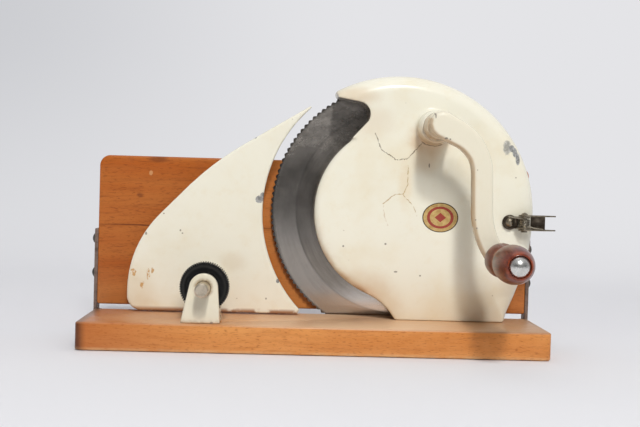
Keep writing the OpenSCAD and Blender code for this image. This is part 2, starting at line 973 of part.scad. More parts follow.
module wheel_bracket() {
    half = 14.2;
    lean = 2;
    color([0.93, 0.90, 0.82])
    difference() {
        union() {
            along_y(ear_f, ear_b)
                translate([spindle_x, 0])
                    polygon([[-half - lean, base_t], [half - lean, base_t],
                        [ear_r * cos(4), spindle_z + ear_r * sin(4)],
                        [-ear_r * cos(14), spindle_z + ear_r * sin(14)]]);
            at_spindle()
                rod_y(ear_r, ear_f, ear_b);
        }
        at_spindle() {
            rod_y(spindle_r + run_fit, ear_f - 1, ear_b + 1);
            rod_y(wheel_r + 1, slot_f, slot_b);
            translate([-30, slot_f, 0])
                cube([60, slot_b - slot_f, 40]);
        }
        for (p = ear_bolts)
            translate([p[0], p[1], base_t - 1])
                cylinder(r = bolt_r + bolt_fit, h = 7);
    }
}

module bracket_bolts() {
    color([0.45, 0.44, 0.42])
    for (p = ear_bolts)
        translate([p[0], p[1], 0])
            bolt_up(bolt_r, bolt_sink, base_t + 5, bolt_head_r, bolt_head_h);
}

module hinge_plate(s) {
    color([0.33, 0.27, 0.22])
    difference() {
        along_x(s > 0 ? plate_x : -base_w / 2, s > 0 ? base_w / 2 : -plate_x)
            hinge_plate_2d();
        translate([0, pin_y, pin_z])
            rod_x(pin_r + bolt_fit, s > 0 ? 0 : -base_w, s > 0 ? base_w : 0);
        for (y = hinge_screws_y)
            translate([s * base_w / 2, y, pin_z]) {
                rod_x(1.5 + bolt_fit, -12, 12);
                rotate([0, s * 90, 0])
                    translate([0, 0, -1.5])
                        cylinder(r1 = 1.5 + bolt_fit, r2 = 3 + bolt_fit, h = 1.5 + e);
            }
    }
}

module hinge_plate_left() {
    hinge_plate(-1);
}

module hinge_plate_right() {
    hinge_plate(1);
}

module hinge_screws() {
    color([0.45, 0.42, 0.38])
    for (s = [-1, 1], y = hinge_screws_y)
        translate([s * base_w / 2, y, pin_z])
            rotate([0, s * 90, 0]) {
                translate([0, 0, -11.5])
                    cylinder(r = 1.5, h = 11);
                translate([0, 0, -1.5])
                    cylinder(r1 = 1.5, r2 = 3, h = 1.5);
            }
}

module hinge_pins() {
    color([0.40, 0.37, 0.33])
    for (s = [-1, 1])
        translate([s * plate_x, pin_y, pin_z])
            rotate([0, s * 90, 0]) {
                cylinder(r = pin_r, h = 2 * strip_t + 0.3 + 0.3);
                translate([0, 0, 2 * strip_t + 0.6])
                    dome(5, 2);
            }
}

module tray_board() {
    color([0.70, 0.41, 0.19])
    difference() {
        union() {
            translate([-base_w / 2, tray_f, tray_z])
                cube([base_w, tray_t, tray_h - tray_r]);
            translate([-base_w / 2 + tray_r, tray_f, tray_z])
                cube([base_w - 2 * tray_r, tray_t, tray_h]);
            for (s = [-1, 1])
                translate([s * (base_w / 2 - tray_r), 0, tray_z + tray_h - tray_r])
                    rod_y(tray_r, tray_f, tray_f + tray_t);
        }
        for (s = [-1, 1], z = tray_screws_z)
            translate([s * base_w / 2, pin_y, z])
                rod_x(1.7 + bolt_fit, -14, 14);
    }
}

module tray_strip(s) {
    color([0.30, 0.25, 0.21])
    translate([s * strip_x, 0, 0])
        mirror([s > 0 ? 0 : 1, 0, 0])
            difference() {
                union() {
                    along_x(0, strip_t) {
                        translate([tray_f, pin_z])
                            square([strip_w, tray_z - pin_z + 1]);
                        translate([pin_y, pin_z])
                            circle(r = strip_w / 2);
                    }
                    along_x(-0.3, strip_t)
                        translate([tray_f, tray_z])
                            square([strip_w, base_t + strip_h - tray_z]);
                }
                translate([0, pin_y, pin_z])
                    rod_x(pin_r + run_fit, -5, 10);
                for (z = tray_screws_z)
                    translate([0, pin_y, z])
                        rod_x(1.7 + bolt_fit, -5, 10);
            }
}

module tray_strip_left() {
    tray_strip(-1);
}

module tray_strip_right() {
    tray_strip(1);
}

module tray_screws() {
    color([0.38, 0.34, 0.30])
    for (s = [-1, 1], z = tray_screws_z)
        translate([s * (strip_x + strip_t), pin_y, z])
            rotate([0, s * 90, 0]) {
                translate([0, 0, -15])
                    cylinder(r = 1.7, h = 15);
                dome(strip_head[0], strip_head[1]);
            }
}

module latch_bracket() {
    color([0.70, 0.68, 0.63])
    difference() {
        union() {
            translate([clip_x, 0, latch_z])
                rod_y(clip_r, web_y, house_y - 0.2);
            translate([clip_x, web_y, ear_low])
                cube([6, house_y - 0.2 - web_y, ear_top - ear_low]);
            for (z = [ear_low, ear_top - sheet_t])
                translate([latch_x, latch_y, z])
                    linear_extrude(sheet_t) {
                        circle(r = 4.4, $fn = 32);
                        translate([-6, 0])
                            square([6, house_y - 0.2 - latch_y]);
                    }
        }
        translate([latch_x, latch_y, 0])
            cylinder(r = latch_pin_r + bolt_fit, h = 400);
        translate([clip_x, 0, latch_z])
            rod_y(1.7 + bolt_fit, -60, 60);
    }
}

module latch_screw() {
    color([0.72, 0.71, 0.68])
    translate([clip_x, 0, latch_z]) {
        rod_y(1.7, web_y, house_y + 10);
        translate([0, web_y, 0])
            rotate([90, 0, 0])
                dome(3.4, 2);
    }
}

module latch_pin() {
    color([0.75, 0.74, 0.71])
    translate([latch_x, latch_y, latch_z]) {
        translate([0, 0, -latch_h / 2 - 1])
            cylinder(r = latch_pin_r, h = latch_h + 1.3);
        translate([0, 0, latch_h / 2 + 0.3])
            dome(2.6, 1.5);
        translate([0, 0, -latch_h / 2 - 1.3])
            cylinder(r = 2.4, h = 1);
    }
}

module latch_lever() {
    back = web_y - latch_y + sheet_t;
    color([0.70, 0.68, 0.63])
    translate([latch_x, latch_y, latch_z])
        difference() {
            union() {
                for (z = [-latch_h / 2, latch_h / 2 - sheet_t])
                    translate([0, 0, z])
                        linear_extrude(sheet_t) {
                            circle(r = 4.4, $fn = 32);
                            polygon([[0, -4.4], [latch_l - 9, -4], [latch_l, 0], [latch_l, 1.6],
                                [latch_l - 7, back], [0, back]]);
                        }
                translate([5.8, back - sheet_t, -latch_h / 2])
                    cube([10.9, sheet_t, latch_h]);
            }
            cylinder(r = latch_pin_r + run_fit, h = 60, center = true);
        }
}

// one unbroken tube of six-sided rings: right leg, curls, left leg
module latch_spring() {
    sides = 6;
    low = ear_low + sheet_t + wire_r + 0.15 - latch_z;
    turns = [for (i = [0 : 8 * coils])
        let (a = 90 + i * 45)
        [coil_r * cos(a), coil_r * sin(a), low + coil_pitch * i / 8]];
    last = turns[8 * coils];
    path = concat([[14.5, coil_r, low - 0.6], [5, coil_r, low - 0.1]], turns,
        [[-4, coil_r, last[2]], [-6.4, coil_r, last[2]]]);
    n = len(path);
    ways = [for (i = [0 : n - 1]) unit(path[min(i + 1, n - 1)] - path[max(i - 1, 0)])];
    points = [for (i = [0 : n - 1], k = [0 : sides - 1])
        let (u = unit(cross(ways[i], [0, 0, 1])), v = cross(u, ways[i]), a = k * 360 / sides)
        path[i] + wire_r * (cos(a) * u + sin(a) * v)];
    skin = [for (i = [0 : n - 2], k = [0 : sides - 1], t = [0, 1])
        let (a = i * sides + k, b = i * sides + (k + 1) % sides)
        t == 0 ? [a, b, a + sides] : [b, b + sides, a + sides]];
    ends = [for (k = [1 : sides - 2], t = [0, 1])
        t == 0 ? [0, k + 1, k] : [(n - 1) * sides, (n - 1) * sides + k, (n - 1) * sides + k + 1]];
    echo(spring_self_gap = coil_pitch - wire_d);
    color([0.62, 0.60, 0.55])
    translate([latch_x, latch_y, latch_z])
        polyhedron(points = points, faces = concat(skin, ends));
}

base_board();
housing();
housing_bolts();
gear_plate();
plate_screws();
crank_bush();
blade_axle();
blade_cap();
wheel_bracket();
bracket_bolts();
guide_channel();
channel_screws();
hinge_plate_left();
hinge_plate_right();
hinge_screws();
hinge_pins();
latch_bracket();
latch_screw();
latch_pin();
latch_spring();
latch_lever();
blade_disc();
blade_gear();
hub_bush();
blade_screws();
crank_shaft();
crank_pinion();
pinion_pin();
crank_arm();
arm_pin();
handle_stud();
handle_grip();
fence_plate();
fence_spindle();
fence_slide();
slide_screw();
thumbwheel();
wheel_insert();
tray_board();
tray_strip_left();
tray_strip_right();
tray_screws();
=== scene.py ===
import json
import math

import bpy
from mathutils import Matrix, Vector

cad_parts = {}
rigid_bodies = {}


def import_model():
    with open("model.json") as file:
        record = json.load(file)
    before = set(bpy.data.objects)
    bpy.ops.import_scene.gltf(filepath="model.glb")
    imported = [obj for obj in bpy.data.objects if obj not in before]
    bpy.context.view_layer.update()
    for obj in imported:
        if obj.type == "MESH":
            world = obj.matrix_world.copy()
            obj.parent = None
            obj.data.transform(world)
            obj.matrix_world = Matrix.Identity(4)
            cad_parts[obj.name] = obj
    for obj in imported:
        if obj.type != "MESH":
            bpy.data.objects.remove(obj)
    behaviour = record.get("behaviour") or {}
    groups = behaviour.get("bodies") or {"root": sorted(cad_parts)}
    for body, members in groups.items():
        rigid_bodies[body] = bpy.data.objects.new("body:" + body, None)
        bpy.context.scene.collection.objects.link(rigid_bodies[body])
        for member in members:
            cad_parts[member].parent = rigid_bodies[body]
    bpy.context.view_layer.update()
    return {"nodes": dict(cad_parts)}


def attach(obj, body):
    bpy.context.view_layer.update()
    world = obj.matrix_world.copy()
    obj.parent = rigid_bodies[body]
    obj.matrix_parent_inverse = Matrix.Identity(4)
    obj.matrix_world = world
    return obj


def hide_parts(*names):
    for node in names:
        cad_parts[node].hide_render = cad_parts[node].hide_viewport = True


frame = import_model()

# Looks of a hand crank bread slicer: enamelled castings, varnished beech, a toothed steel disc.
# Shapes are in metres. Patterns work on object coordinates turned into millimetres.
nodes = frame["nodes"]
MM = 0.001

BLADE_AXIS = (65.0, 102.0)
GRIP_AXIS = (128.763, 72.5434)
SPINDLE_AXIS = (-80.4, 45.5)
HOUSE_FRONT = 2.0
FENCE_FRONT = 26.4
LATCH_PIN = (155.3, -4.0, 97.5)
BASE_TOP, BASE_FRONT, BASE_LEFT = 20.0, -40.0, -170.0
TRAY_FRONT, TRAY_SEAM = 49.0, 85.5
GRIP_GROOVE = -72.2
GROUND_RING, TOOTH_FOOT = 80.0, 97.2
BADGE_CENTRE, BADGE_HALF, GEM_HALF = (93.0, 99.5), (13.6, 11.2), (4.4, 3.6)
# drum rounding in the CAD and as shown, with the stretches over which the change fades in
DRUM_ROUND, RIM_ROUND = 30.0, 17.0
RIM_FADE_Z, RIM_FADE_REACH, RIM_FADE_FACING = (40.0, 60.0), (68.0, 76.0), (0.02, 0.12)
# foot: where its shallow curve starts, how far it goes back, how deep it is reshaped
FOOT_START, FOOT_SETBACK, FOOT_DEPTH = 104.0, 11.0, 36.0
# foot: where the CAD's rounding starts, the skin that moves as one, the least depth of the blend
FOOT_ROUND_Z, FOOT_SKIN, FOOT_BLEND = 48.0, 4.0, 6.0
WHEEL_VALLEY, KNURL_DEEPER, KNURL_RANGE = 17.1, 0.6, 0.3
# merging in millimetres, angles in degrees
MERGE, FLAT_ANGLE, SHARP_ANGLE = 0.002, 0.5, 40
COIL_LOW, COIL_PITCH, COIL_RADIUS, COILS, COIL_STEPS, WIRE_RADIUS = -2.9, 1.45, 3.4, 4, 24, 0.6
ENAMEL_STEP = 0.06
# stage in metres
SWEEP_HALF, SWEEP_BACK, SWEEP_HEIGHT, SWEEP_ROUND, FLOOR_DROP = 4, 1.3, 3.0, 0.7, 0.0004
ROOM_PALE, ROOM_DARK = (0.78, 0.78, 0.80, 1), (0.17, 0.17, 0.17, 1)
ROOM_LIGHT, SEEN_EXTRA = 0.6, 0.35
# camera at the photo's place in millimetres, its turns in radians
EYE = (-23.93, -793.90, 124.56)
YAW, PITCH, ROLL = -0.033207, -0.030778, -0.029048
FOCAL_PIXELS, VIEW_PIXELS, SENSOR = 1064.49, 640, 36.0


# Shaping by operators

def clear_choice():
    if bpy.context.mode != "OBJECT":
        bpy.ops.object.mode_set(mode="OBJECT")
    bpy.ops.object.select_all(action="DESELECT")


def pick(piece):
    clear_choice()
    piece.select_set(True)
    bpy.context.view_layer.objects.active = piece


def edit(piece, kind="VERT"):
    pick(piece)
    bpy.ops.object.mode_set(mode="EDIT")
    bpy.ops.mesh.select_mode(type=kind)
    bpy.ops.mesh.select_all(action="SELECT")


def done(piece):
    bpy.ops.object.mode_set(mode="OBJECT")
    return piece


def modify(piece, kind, **settings):
    pick(piece)
    step = piece.modifiers.new(kind.lower(), kind)
    for key, value in settings.items():
        setattr(step, key, value)
    bpy.ops.object.modifier_apply(modifier=step.name)


def smooth(piece, angle):
    pick(piece)
    bpy.ops.object.shade_smooth_by_angle(angle=math.radians(angle))


def node_copy(node, name):
    """A merged copy of a CAD node, free of its body."""
    pick(nodes[node])
    bpy.ops.object.duplicate()
    piece = bpy.context.view_layer.objects.active
    bpy.ops.object.parent_clear(type="CLEAR")
    for key in [k for k in piece.keys() if k.startswith("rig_")]:
        del piece[key]
    piece.name = name
    bpy.ops.mesh.customdata_custom_splitnormals_clear()
    edit(piece)
    bpy.ops.mesh.remove_doubles(threshold=MERGE * MM)
    return done(piece)


def cast(node, name, voxel, rounds):
    """A casting: the node's form with all edges softened as under thick enamel."""
    piece = node_copy(node, name)
    modify(piece, "REMESH", mode="VOXEL", voxel_size=voxel * MM)
    modify(piece, "SMOOTH", factor=0.5, iterations=rounds)
    pick(piece)
    bpy.ops.object.shade_smooth()
    return piece


def eased(node, name, width, segments=2):
    """A board or sheet: the node's form with its sharp edges rounded over."""
    piece = node_copy(node, name)
    edit(piece)
    bpy.ops.mesh.dissolve_limited(angle_limit=math.radians(FLAT_ANGLE))
    done(piece)
    modify(piece, "BEVEL", width=width * MM, segments=segments, limit_method="ANGLE",
           angle_limit=math.radians(SHARP_ANGLE), use_clamp_overlap=False)
    smooth(piece, 32)
    return piece


def turned(name, profile, axis, steps=96):
    """A piece turned about a Y line through axis; profile is a closed loop of (radius, y) in mm."""
    clear_choice()
    bpy.ops.mesh.primitive_circle_add(vertices=len(profile), radius=0.01, fill_type="NOTHING")
    piece = bpy.context.view_layer.objects.active
    piece.name = name
    for vertex, (r, y) in zip(piece.data.vertices, profile):
        vertex.co = Vector((axis[0] + r, y, axis[1])) * MM
    edit(piece)
    middle = (axis[0] * MM, 0, axis[1] * MM)
    bpy.ops.mesh.spin(steps=steps, angle=2 * math.pi, center=middle, axis=(0, 1, 0))
    bpy.ops.mesh.select_all(action="SELECT")
    bpy.ops.mesh.remove_doubles(threshold=MERGE * MM)
    bpy.ops.mesh.normals_make_consistent(inside=False)
    done(piece)
    smooth(piece, 40)
    return piece


def flowing(points, parts=6):
    """Points of a smooth line through the given ones."""
    out = []
    last = len(points) - 1
    for i in range(last):
        p0, p1, p2, p3 = (Vector(points[min(max(i + k, 0), last)]) for k in (-1, 0, 1, 2))
        for j in range(parts):
            t = j / parts
            out.append(0.5 * (2 * p1 + (p2 - p0) * t + (2 * p0 - 5 * p1 + 4 * p2 - p3) * t * t
                              + (3 * p1 - p0 - 3 * p2 + p3) * t ** 3))
    out.append(Vector(points[last]))
    return out


def ramp(value, low, high):
    return min(max((value - low) / (high - low), 0.0), 1.0)


def tighten_rim(piece):
    """Pulls the drum's wide rounding out to a fuller rim, along lines of sight, so that its outline stays."""
    eye = Vector(EYE) * MM
    facing = [tuple(vertex.normal) for vertex in piece.data.vertices]
    for vertex, normal in zip(piece.data.vertices, facing):
        x, y, z = vertex.co / MM
        deep = HOUSE_FRONT + DRUM_ROUND - y
        if not 0.0 < deep < DRUM_ROUND or -normal[1] < RIM_FADE_FACING[0]:
            continue
        inward = DRUM_ROUND - math.sqrt(DRUM_ROUND ** 2 - deep ** 2)
        face = HOUSE_FRONT
        if inward < RIM_ROUND:
            face += RIM_ROUND - math.sqrt(RIM_ROUND ** 2 - (RIM_ROUND - inward) ** 2)
        reach = math.hypot(x - BLADE_AXIS[0], z - BLADE_AXIS[1])
        share = ramp(z, *RIM_FADE_Z) * ramp(reach, *RIM_FADE_REACH) * ramp(-normal[1], *RIM_FADE_FACING)
        forward = (y - face) * share * MM
        vertex.co += (eye - vertex.co) * (forward / (vertex.co.y - eye.y))


def straighten_foot(piece):
    """Turns the foot's round underside into one shallow curve from the drum's face down to the base."""
    for vertex in piece.data.vertices:
        y, z = vertex.co.y / MM, vertex.co.z / MM
        if z >= FOOT_START or y >= FOOT_DEPTH:
            continue
        round_face = HOUSE_FRONT
        if z < FOOT_ROUND_Z:
            drop = FOOT_ROUND_Z - z
            round_face += DRUM_ROUND - math.sqrt(max(DRUM_ROUND ** 2 - drop ** 2, 0.0))
        face = HOUSE_FRONT + FOOT_SETBACK * ((FOOT_START - z) / (FOOT_START - BASE_TOP)) ** 2
        inner = min(round_face + FOOT_SKIN, FOOT_DEPTH - FOOT_BLEND)
        share = ramp(FOOT_DEPTH - y, 0.0, FOOT_DEPTH - inner)
        vertex.co.y += (face - round_face) * share * MM


def stand_for(piece, body, slot, finish, *replaced):
    piece.data.materials.clear()
    piece.data.materials.append(finish)
    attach(piece, body)
    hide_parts(*replaced)


# Shader graphs

def tint(r, g, b):
    """A colour from screen values of 0 to 255."""
    linear = []
    for value in (r / 255, g / 255, b / 255):
        linear.append(value / 12.92 if value <= 0.04045 else ((value + 0.055) / 1.055) ** 2.4)
    return (*linear, 1.0)


class Graph:
    """Places and links shader nodes in one tree."""

    def __init__(self, tree):
        self.tree = tree

    def feed(self, socket, value):
        if isinstance(value, bpy.types.NodeSocket):
            self.tree.links.new(value, socket)
        else:
            socket.default_value = value

    def put(self, kind, settings=None, **inputs):
        node = self.tree.nodes.new("ShaderNode" + kind)
        for key, value in (settings or {}).items():
            setattr(node, key, value)
        for key, value in inputs.items():
            self.feed(node.inputs[key.replace("_", " ")], value)
        return node

    def math(self, operation, a, b=0.0):
        node = self.put("Math", {"operation": operation})
        for socket, value in zip(node.inputs, (a, b)):
            self.feed(socket, value)
        return node.outputs[0]

    def times(self, first, *others):
        for other in others:
            first = self.math("MULTIPLY", first, other)
        return first

    def plus(self, a, b):
        return self.math("ADD", a, b)

    def minus(self, a, b):
        return self.math("SUBTRACT", a, b)

    def off(self, value, middle):
        """How far a value lies from a middle."""
        return self.math("ABSOLUTE", self.minus(value, middle))

    def vector(self, operation, a, b=(0.0, 0.0, 0.0)):
        node = self.put("VectorMath", {"operation": operation})
        self.feed(node.inputs[0], a)
        if operation == "SCALE":
            self.feed(node.inputs["Scale"], b)
        elif operation != "LENGTH":
            self.feed(node.inputs[1], b)
        return node.outputs["Value" if operation in ("LENGTH", "DOT_PRODUCT") else "Vector"]

    def noise(self, vector, scale, detail=3.0, roughness=0.55, out="Fac"):
        node = self.put("TexNoise", Vector=vector, Scale=scale, Detail=detail, Roughness=roughness)
        return node.outputs[out]

    def band(self, value, low, high, to_low=0.0, to_high=1.0):
        node = self.put("MapRange", {"interpolation_type": "SMOOTHSTEP"}, Value=value)
        for name, v in (("From Min", low), ("From Max", high), ("To Min", to_low), ("To Max", to_high)):
            self.feed(node.inputs[name], v)
        return node.outputs["Result"]

    def mix(self, share, a, b):
        node = self.put("Mix", {"data_type": "RGBA"})
        self.feed(node.inputs[0], share)
        self.feed(node.inputs[6], a)
        self.feed(node.inputs[7], b)
        return node.outputs[2]

    def tone_toward(self, color, mask, share, toward):
        """Turns a colour towards another one by a share of a mask."""
        return self.mix(self.times(mask, share), color, toward)

    def split(self, vector):
        return self.put("SeparateXYZ", Vector=vector).outputs

    def join(self, x, y, z):
        node = self.put("CombineXYZ")
        for socket, value in zip(node.inputs, (x, y, z)):
            self.feed(socket, value)
        return node.outputs[0]

    def reach(self, x, z, axis):
        """Distance from a line along Y through axis."""
        return self.vector("LENGTH", self.join(self.minus(x, axis[0]), 0.0, self.minus(z, axis[1])))

    def group(self, made, **inputs):
        return self.put("Group", {"node_tree": made}, **inputs).outputs


KINDS = {"v": "NodeSocketVector", "f": "NodeSocketFloat", "c": "NodeSocketColor"}
SURFACE = [("Color", "c"), ("Roughness", "f"), ("Height", "f")]
HALF = (0.5, 0.5, 0.5)


def new_group(name, takes, gives):
    tree = bpy.data.node_groups.new(name, "ShaderNodeTree")
    for label, kind in takes:
        tree.interface.new_socket(name=label, in_out="INPUT", socket_type=KINDS[kind])
    for label, kind in gives:
        tree.interface.new_socket(name=label, in_out="OUTPUT", socket_type=KINDS[kind])
    into = tree.nodes.new("NodeGroupInput")
    out = tree.nodes.new("NodeGroupOutput")
    return Graph(tree), into.outputs, out.inputs


def ragged_spot_group():
    """A ragged patch round a centre, such as a chip, a dirt mark, a rub mark or a painted shade."""
    takes = [("Vector", "v"), ("Centre", "v"), ("Size", "v"), ("Ragged", "f"), ("Grain", "f"), ("Soft", "f")]
    g, into, out = new_group("ragged_spot", takes, [("Mask", "f")])
    from_centre = g.vector("SUBTRACT", into["Vector"], into["Centre"])
    away = g.vector("LENGTH", g.vector("DIVIDE", from_centre, into["Size"]))
    ragged = g.times(g.minus(g.noise(into["Vector"], into["Grain"], 4), 0.5), into["Ragged"])
    low = g.minus(1.0, into["Soft"])
    high = g.plus(1.0, into["Soft"])
    g.feed(out["Mask"], g.minus(1.0, g.band(g.plus(away, ragged), low, high)))
    return g.tree


def hair_crack_group():
    """A thin wandering line from start to end."""
    takes = [("Vector", "v"), ("Start", "v"), ("End", "v"), ("Width", "f"), ("Wander", "f")]
    g, into, out = new_group("hair_crack", takes, [("Mask", "f")])
    drift = g.vector("SUBTRACT", g.noise(into["Vector"], 0.2, 5, 0.65, "Color"), HALF)
    place = g.vector("ADD", into["Vector"], g.vector("SCALE", drift, into["Wander"]))
    along = g.vector("SUBTRACT", into["End"], into["Start"])
    seen = g.vector("SUBTRACT", place, into["Start"])
    share = g.math("DIVIDE", g.vector("DOT_PRODUCT", seen, along), g.vector("DOT_PRODUCT", along, along))
    share = g.math("MINIMUM", g.math("MAXIMUM", share, 0.0), 1.0)
    away = g.vector("LENGTH", g.vector("SUBTRACT", seen, g.vector("SCALE", along, share)))
    wide = g.times(into["Width"], g.band(g.noise(into["Vector"], 0.25, 2), 0.3, 0.75, 0.6, 1.15))
    g.feed(out["Mask"], g.minus(1.0, g.band(away, g.times(wide, 0.35), wide)))
    return g.tree


def enamel_coat_group():
    """Old cream enamel: slow yellowing, faint clouds, tiny dark specks and a slightly wavy skin."""
    takes = [("Vector", "v"), ("Fresh", "c"), ("Aged", "c"), ("Specks", "f")]
    g, into, out = new_group("enamel_coat", takes, SURFACE)
    place = into["Vector"]
    clouds = g.band(g.noise(place, 0.018, 4, 0.6), 0.42, 0.72)
    fine = g.noise(place, 0.12, 5, 0.65)
    age = g.plus(g.times(clouds, 0.6), g.band(fine, 0.5, 0.8, 0.0, 0.35))
    color = g.mix(age, into["Fresh"], into["Aged"])
    dots = g.put("TexVoronoi", Vector=place, Scale=0.085, Randomness=1.0).outputs["Distance"]
    keep = g.band(g.noise(place, 0.03, 1), 0.5, 0.62)
    speck = g.times(g.math("LESS_THAN", dots, into["Specks"]), keep)
    color = g.tone_toward(color, speck, 0.75, tint(120, 92, 62))
    g.feed(out["Color"], color)
    g.feed(out["Roughness"], g.band(g.noise(place, 0.06, 4, 0.6), 0.3, 0.75, 0.17, 0.27))
    waves = g.plus(g.times(g.noise(place, 0.05, 2), 0.8), g.times(g.noise(place, 0.6, 2), 0.05))
    g.feed(out["Height"], g.minus(waves, g.times(speck, 0.3)))
    return g.tree


def wood_figure_group():
    """Varnished beech with its grain along X: slow bands, fine lines and short dark flecks."""
    takes = [("Vector", "v"), ("Light", "c"), ("Mid", "c"), ("Dark", "c"), ("Flecks", "f")]
    g, into, out = new_group("wood_figure", takes, SURFACE)
    place = into["Vector"]
    bend = g.vector("SUBTRACT", g.noise(place, 0.012, 2, 0.5, "Color"), HALF)
    grain = g.vector("ADD", place, g.vector("SCALE", bend, 14.0))
    bands = g.noise(g.vector("MULTIPLY", grain, (0.006, 0.07, 0.07)), 1.0, 4, 0.55)
    lines = g.noise(g.vector("MULTIPLY", grain, (0.02, 0.55, 0.55)), 1.0, 5, 0.6)
    color = g.mix(g.band(bands, 0.3, 0.7), into["Light"], into["Mid"])
    color = g.mix(g.band(lines, 0.45, 0.85, 0.0, 0.55), color, into["Dark"])
    fleck = g.noise(g.vector("MULTIPLY", place, (0.26, 1.3, 1.3)), 1.0, 2, 0.45)
    fleck = g.times(g.band(fleck, 0.55, 0.68), into["Flecks"])
    color = g.mix(fleck, color, into["Dark"])
    pores = g.noise(g.vector("MULTIPLY", place, (0.5, 3.2, 3.2)), 1.0, 2, 0.5)
    color = g.mix(g.band(pores, 0.58, 0.72, 0.0, 0.22), color, into["Dark"])
    g.feed(out["Color"], color)
    g.feed(out["Roughness"], g.band(g.noise(place, 0.04, 4, 0.6), 0.3, 0.7, 0.30, 0.5))
    g.feed(out["Height"], g.minus(g.times(lines, 0.4), g.times(fleck, 0.5)))
    return g.tree


def metal_marks_group():
    """Rubbed metal: blotches, fine scratches along X and a changing gloss."""
    takes = [("Vector", "v"), ("Clean", "c"), ("Soiled", "c"), ("Amount", "f"), ("Gloss", "f")]
    g, into, out = new_group("metal_marks", takes, SURFACE)
    place = into["Vector"]
    blotch = g.band(g.noise(place, 0.22, 5, 0.65), 0.42, 0.75)
    scratch = g.noise(g.vector("MULTIPLY", place, (0.25, 4.0, 4.0)), 1.0, 4, 0.7)
    soil = g.times(g.plus(blotch, g.band(scratch, 0.55, 0.8, 0.0, 0.4)), into["Amount"])
    g.feed(out["Color"], g.mix(soil, into["Clean"], into["Soiled"]))
    g.feed(out["Roughness"], g.plus(into["Gloss"], g.times(soil, 0.35)))
    g.feed(out["Height"], g.plus(g.times(scratch, 0.5), g.times(blotch, 0.3)))
    return g.tree


RAGGED_SPOT = ragged_spot_group()
HAIR_CRACK = hair_crack_group()
ENAMEL_COAT = enamel_coat_group()
WOOD_FIGURE = wood_figure_group()
METAL_MARKS = metal_marks_group()


def finish_of(name, **sockets):
    """A new material: its graph, its place in millimetres and its shader."""
    material = bpy.data.materials.new(name)
    material.use_nodes = True
    g = Graph(material.node_tree)
    shader = g.tree.nodes["Principled BSDF"]
    for key, value in sockets.items():
        shader.inputs[key.replace("_", " ")].default_value = value
    place = g.vector("SCALE", g.put("TexCoord").outputs["Object"], 1000.0)
    return material, g, place, shader


def relief(g, shader, height, depth):
    """Bump of a height of 0 to 1, depth in millimetres."""
    bump = g.put("Bump", Strength=1.0, Distance=depth * MM, Height=height)
    g.feed(shader.inputs["Normal"], bump.outputs["Normal"])


def spot(g, place, centre, size, ragged, grain, soft):
    made = g.group(RAGGED_SPOT, Vector=place, Centre=centre, Size=size, Ragged=ragged, Grain=grain, Soft=soft)
    return made["Mask"]


def over(g, masks):
    """One mask of several."""
    total = masks[0]
    for mask in masks[1:]:
        total = g.math("MAXIMUM", total, mask)
    return total


def spots(g, place, rows, grain, soft):
    """One mask of several spots, each with its centre, size and raggedness."""
    return over(g, [spot(g, place, centre, size, ragged, grain, soft) for centre, size, ragged in rows])


def crack(g, place, points, width, wander=4.0):
    """A crack through several points, each leg a thin line."""
    return over(g, [g.group(HAIR_CRACK, Vector=place, Start=start, End=end, Width=width, Wander=wander)["Mask"]
                    for start, end in zip(points, points[1:])])


CREAM = tint(236, 232, 214)
CREAM_AGED = tint(229, 218, 189)
BARE_DARK = tint(136, 136, 132)
BARE_PALE = tint(190, 189, 187)
CRACK_DARK = tint(104, 82, 56)


def enamel_start(name, specks):
    material, g, place, shader = finish_of(name, Specular_IOR_Level=0.42)
    coat = g.group(ENAMEL_COAT, Vector=place, Fresh=CREAM, Aged=CREAM_AGED, Specks=specks)
    return material, g, place, shader, coat["Color"], coat["Roughness"], coat["Height"]


def enamel_end(g, place, shader, color, rough, height, chips):
    """Mottled bare metal in the chips and the step down from the enamel."""
    metal = g.mix(g.band(g.noise(place, 0.55, 4, 0.65), 0.4, 0.66), BARE_DARK, BARE_PALE)
    color = g.mix(chips, color, metal)
    g.feed(shader.inputs["Base Color"], color)
    g.feed(shader.inputs["Metallic"], g.times(chips, 0.25))
    g.feed(shader.inputs["Roughness"], g.plus(rough, g.times(chips, 0.15)))
    relief(g, shader, g.minus(height, g.times(chips, 3.0)), ENAMEL_STEP)


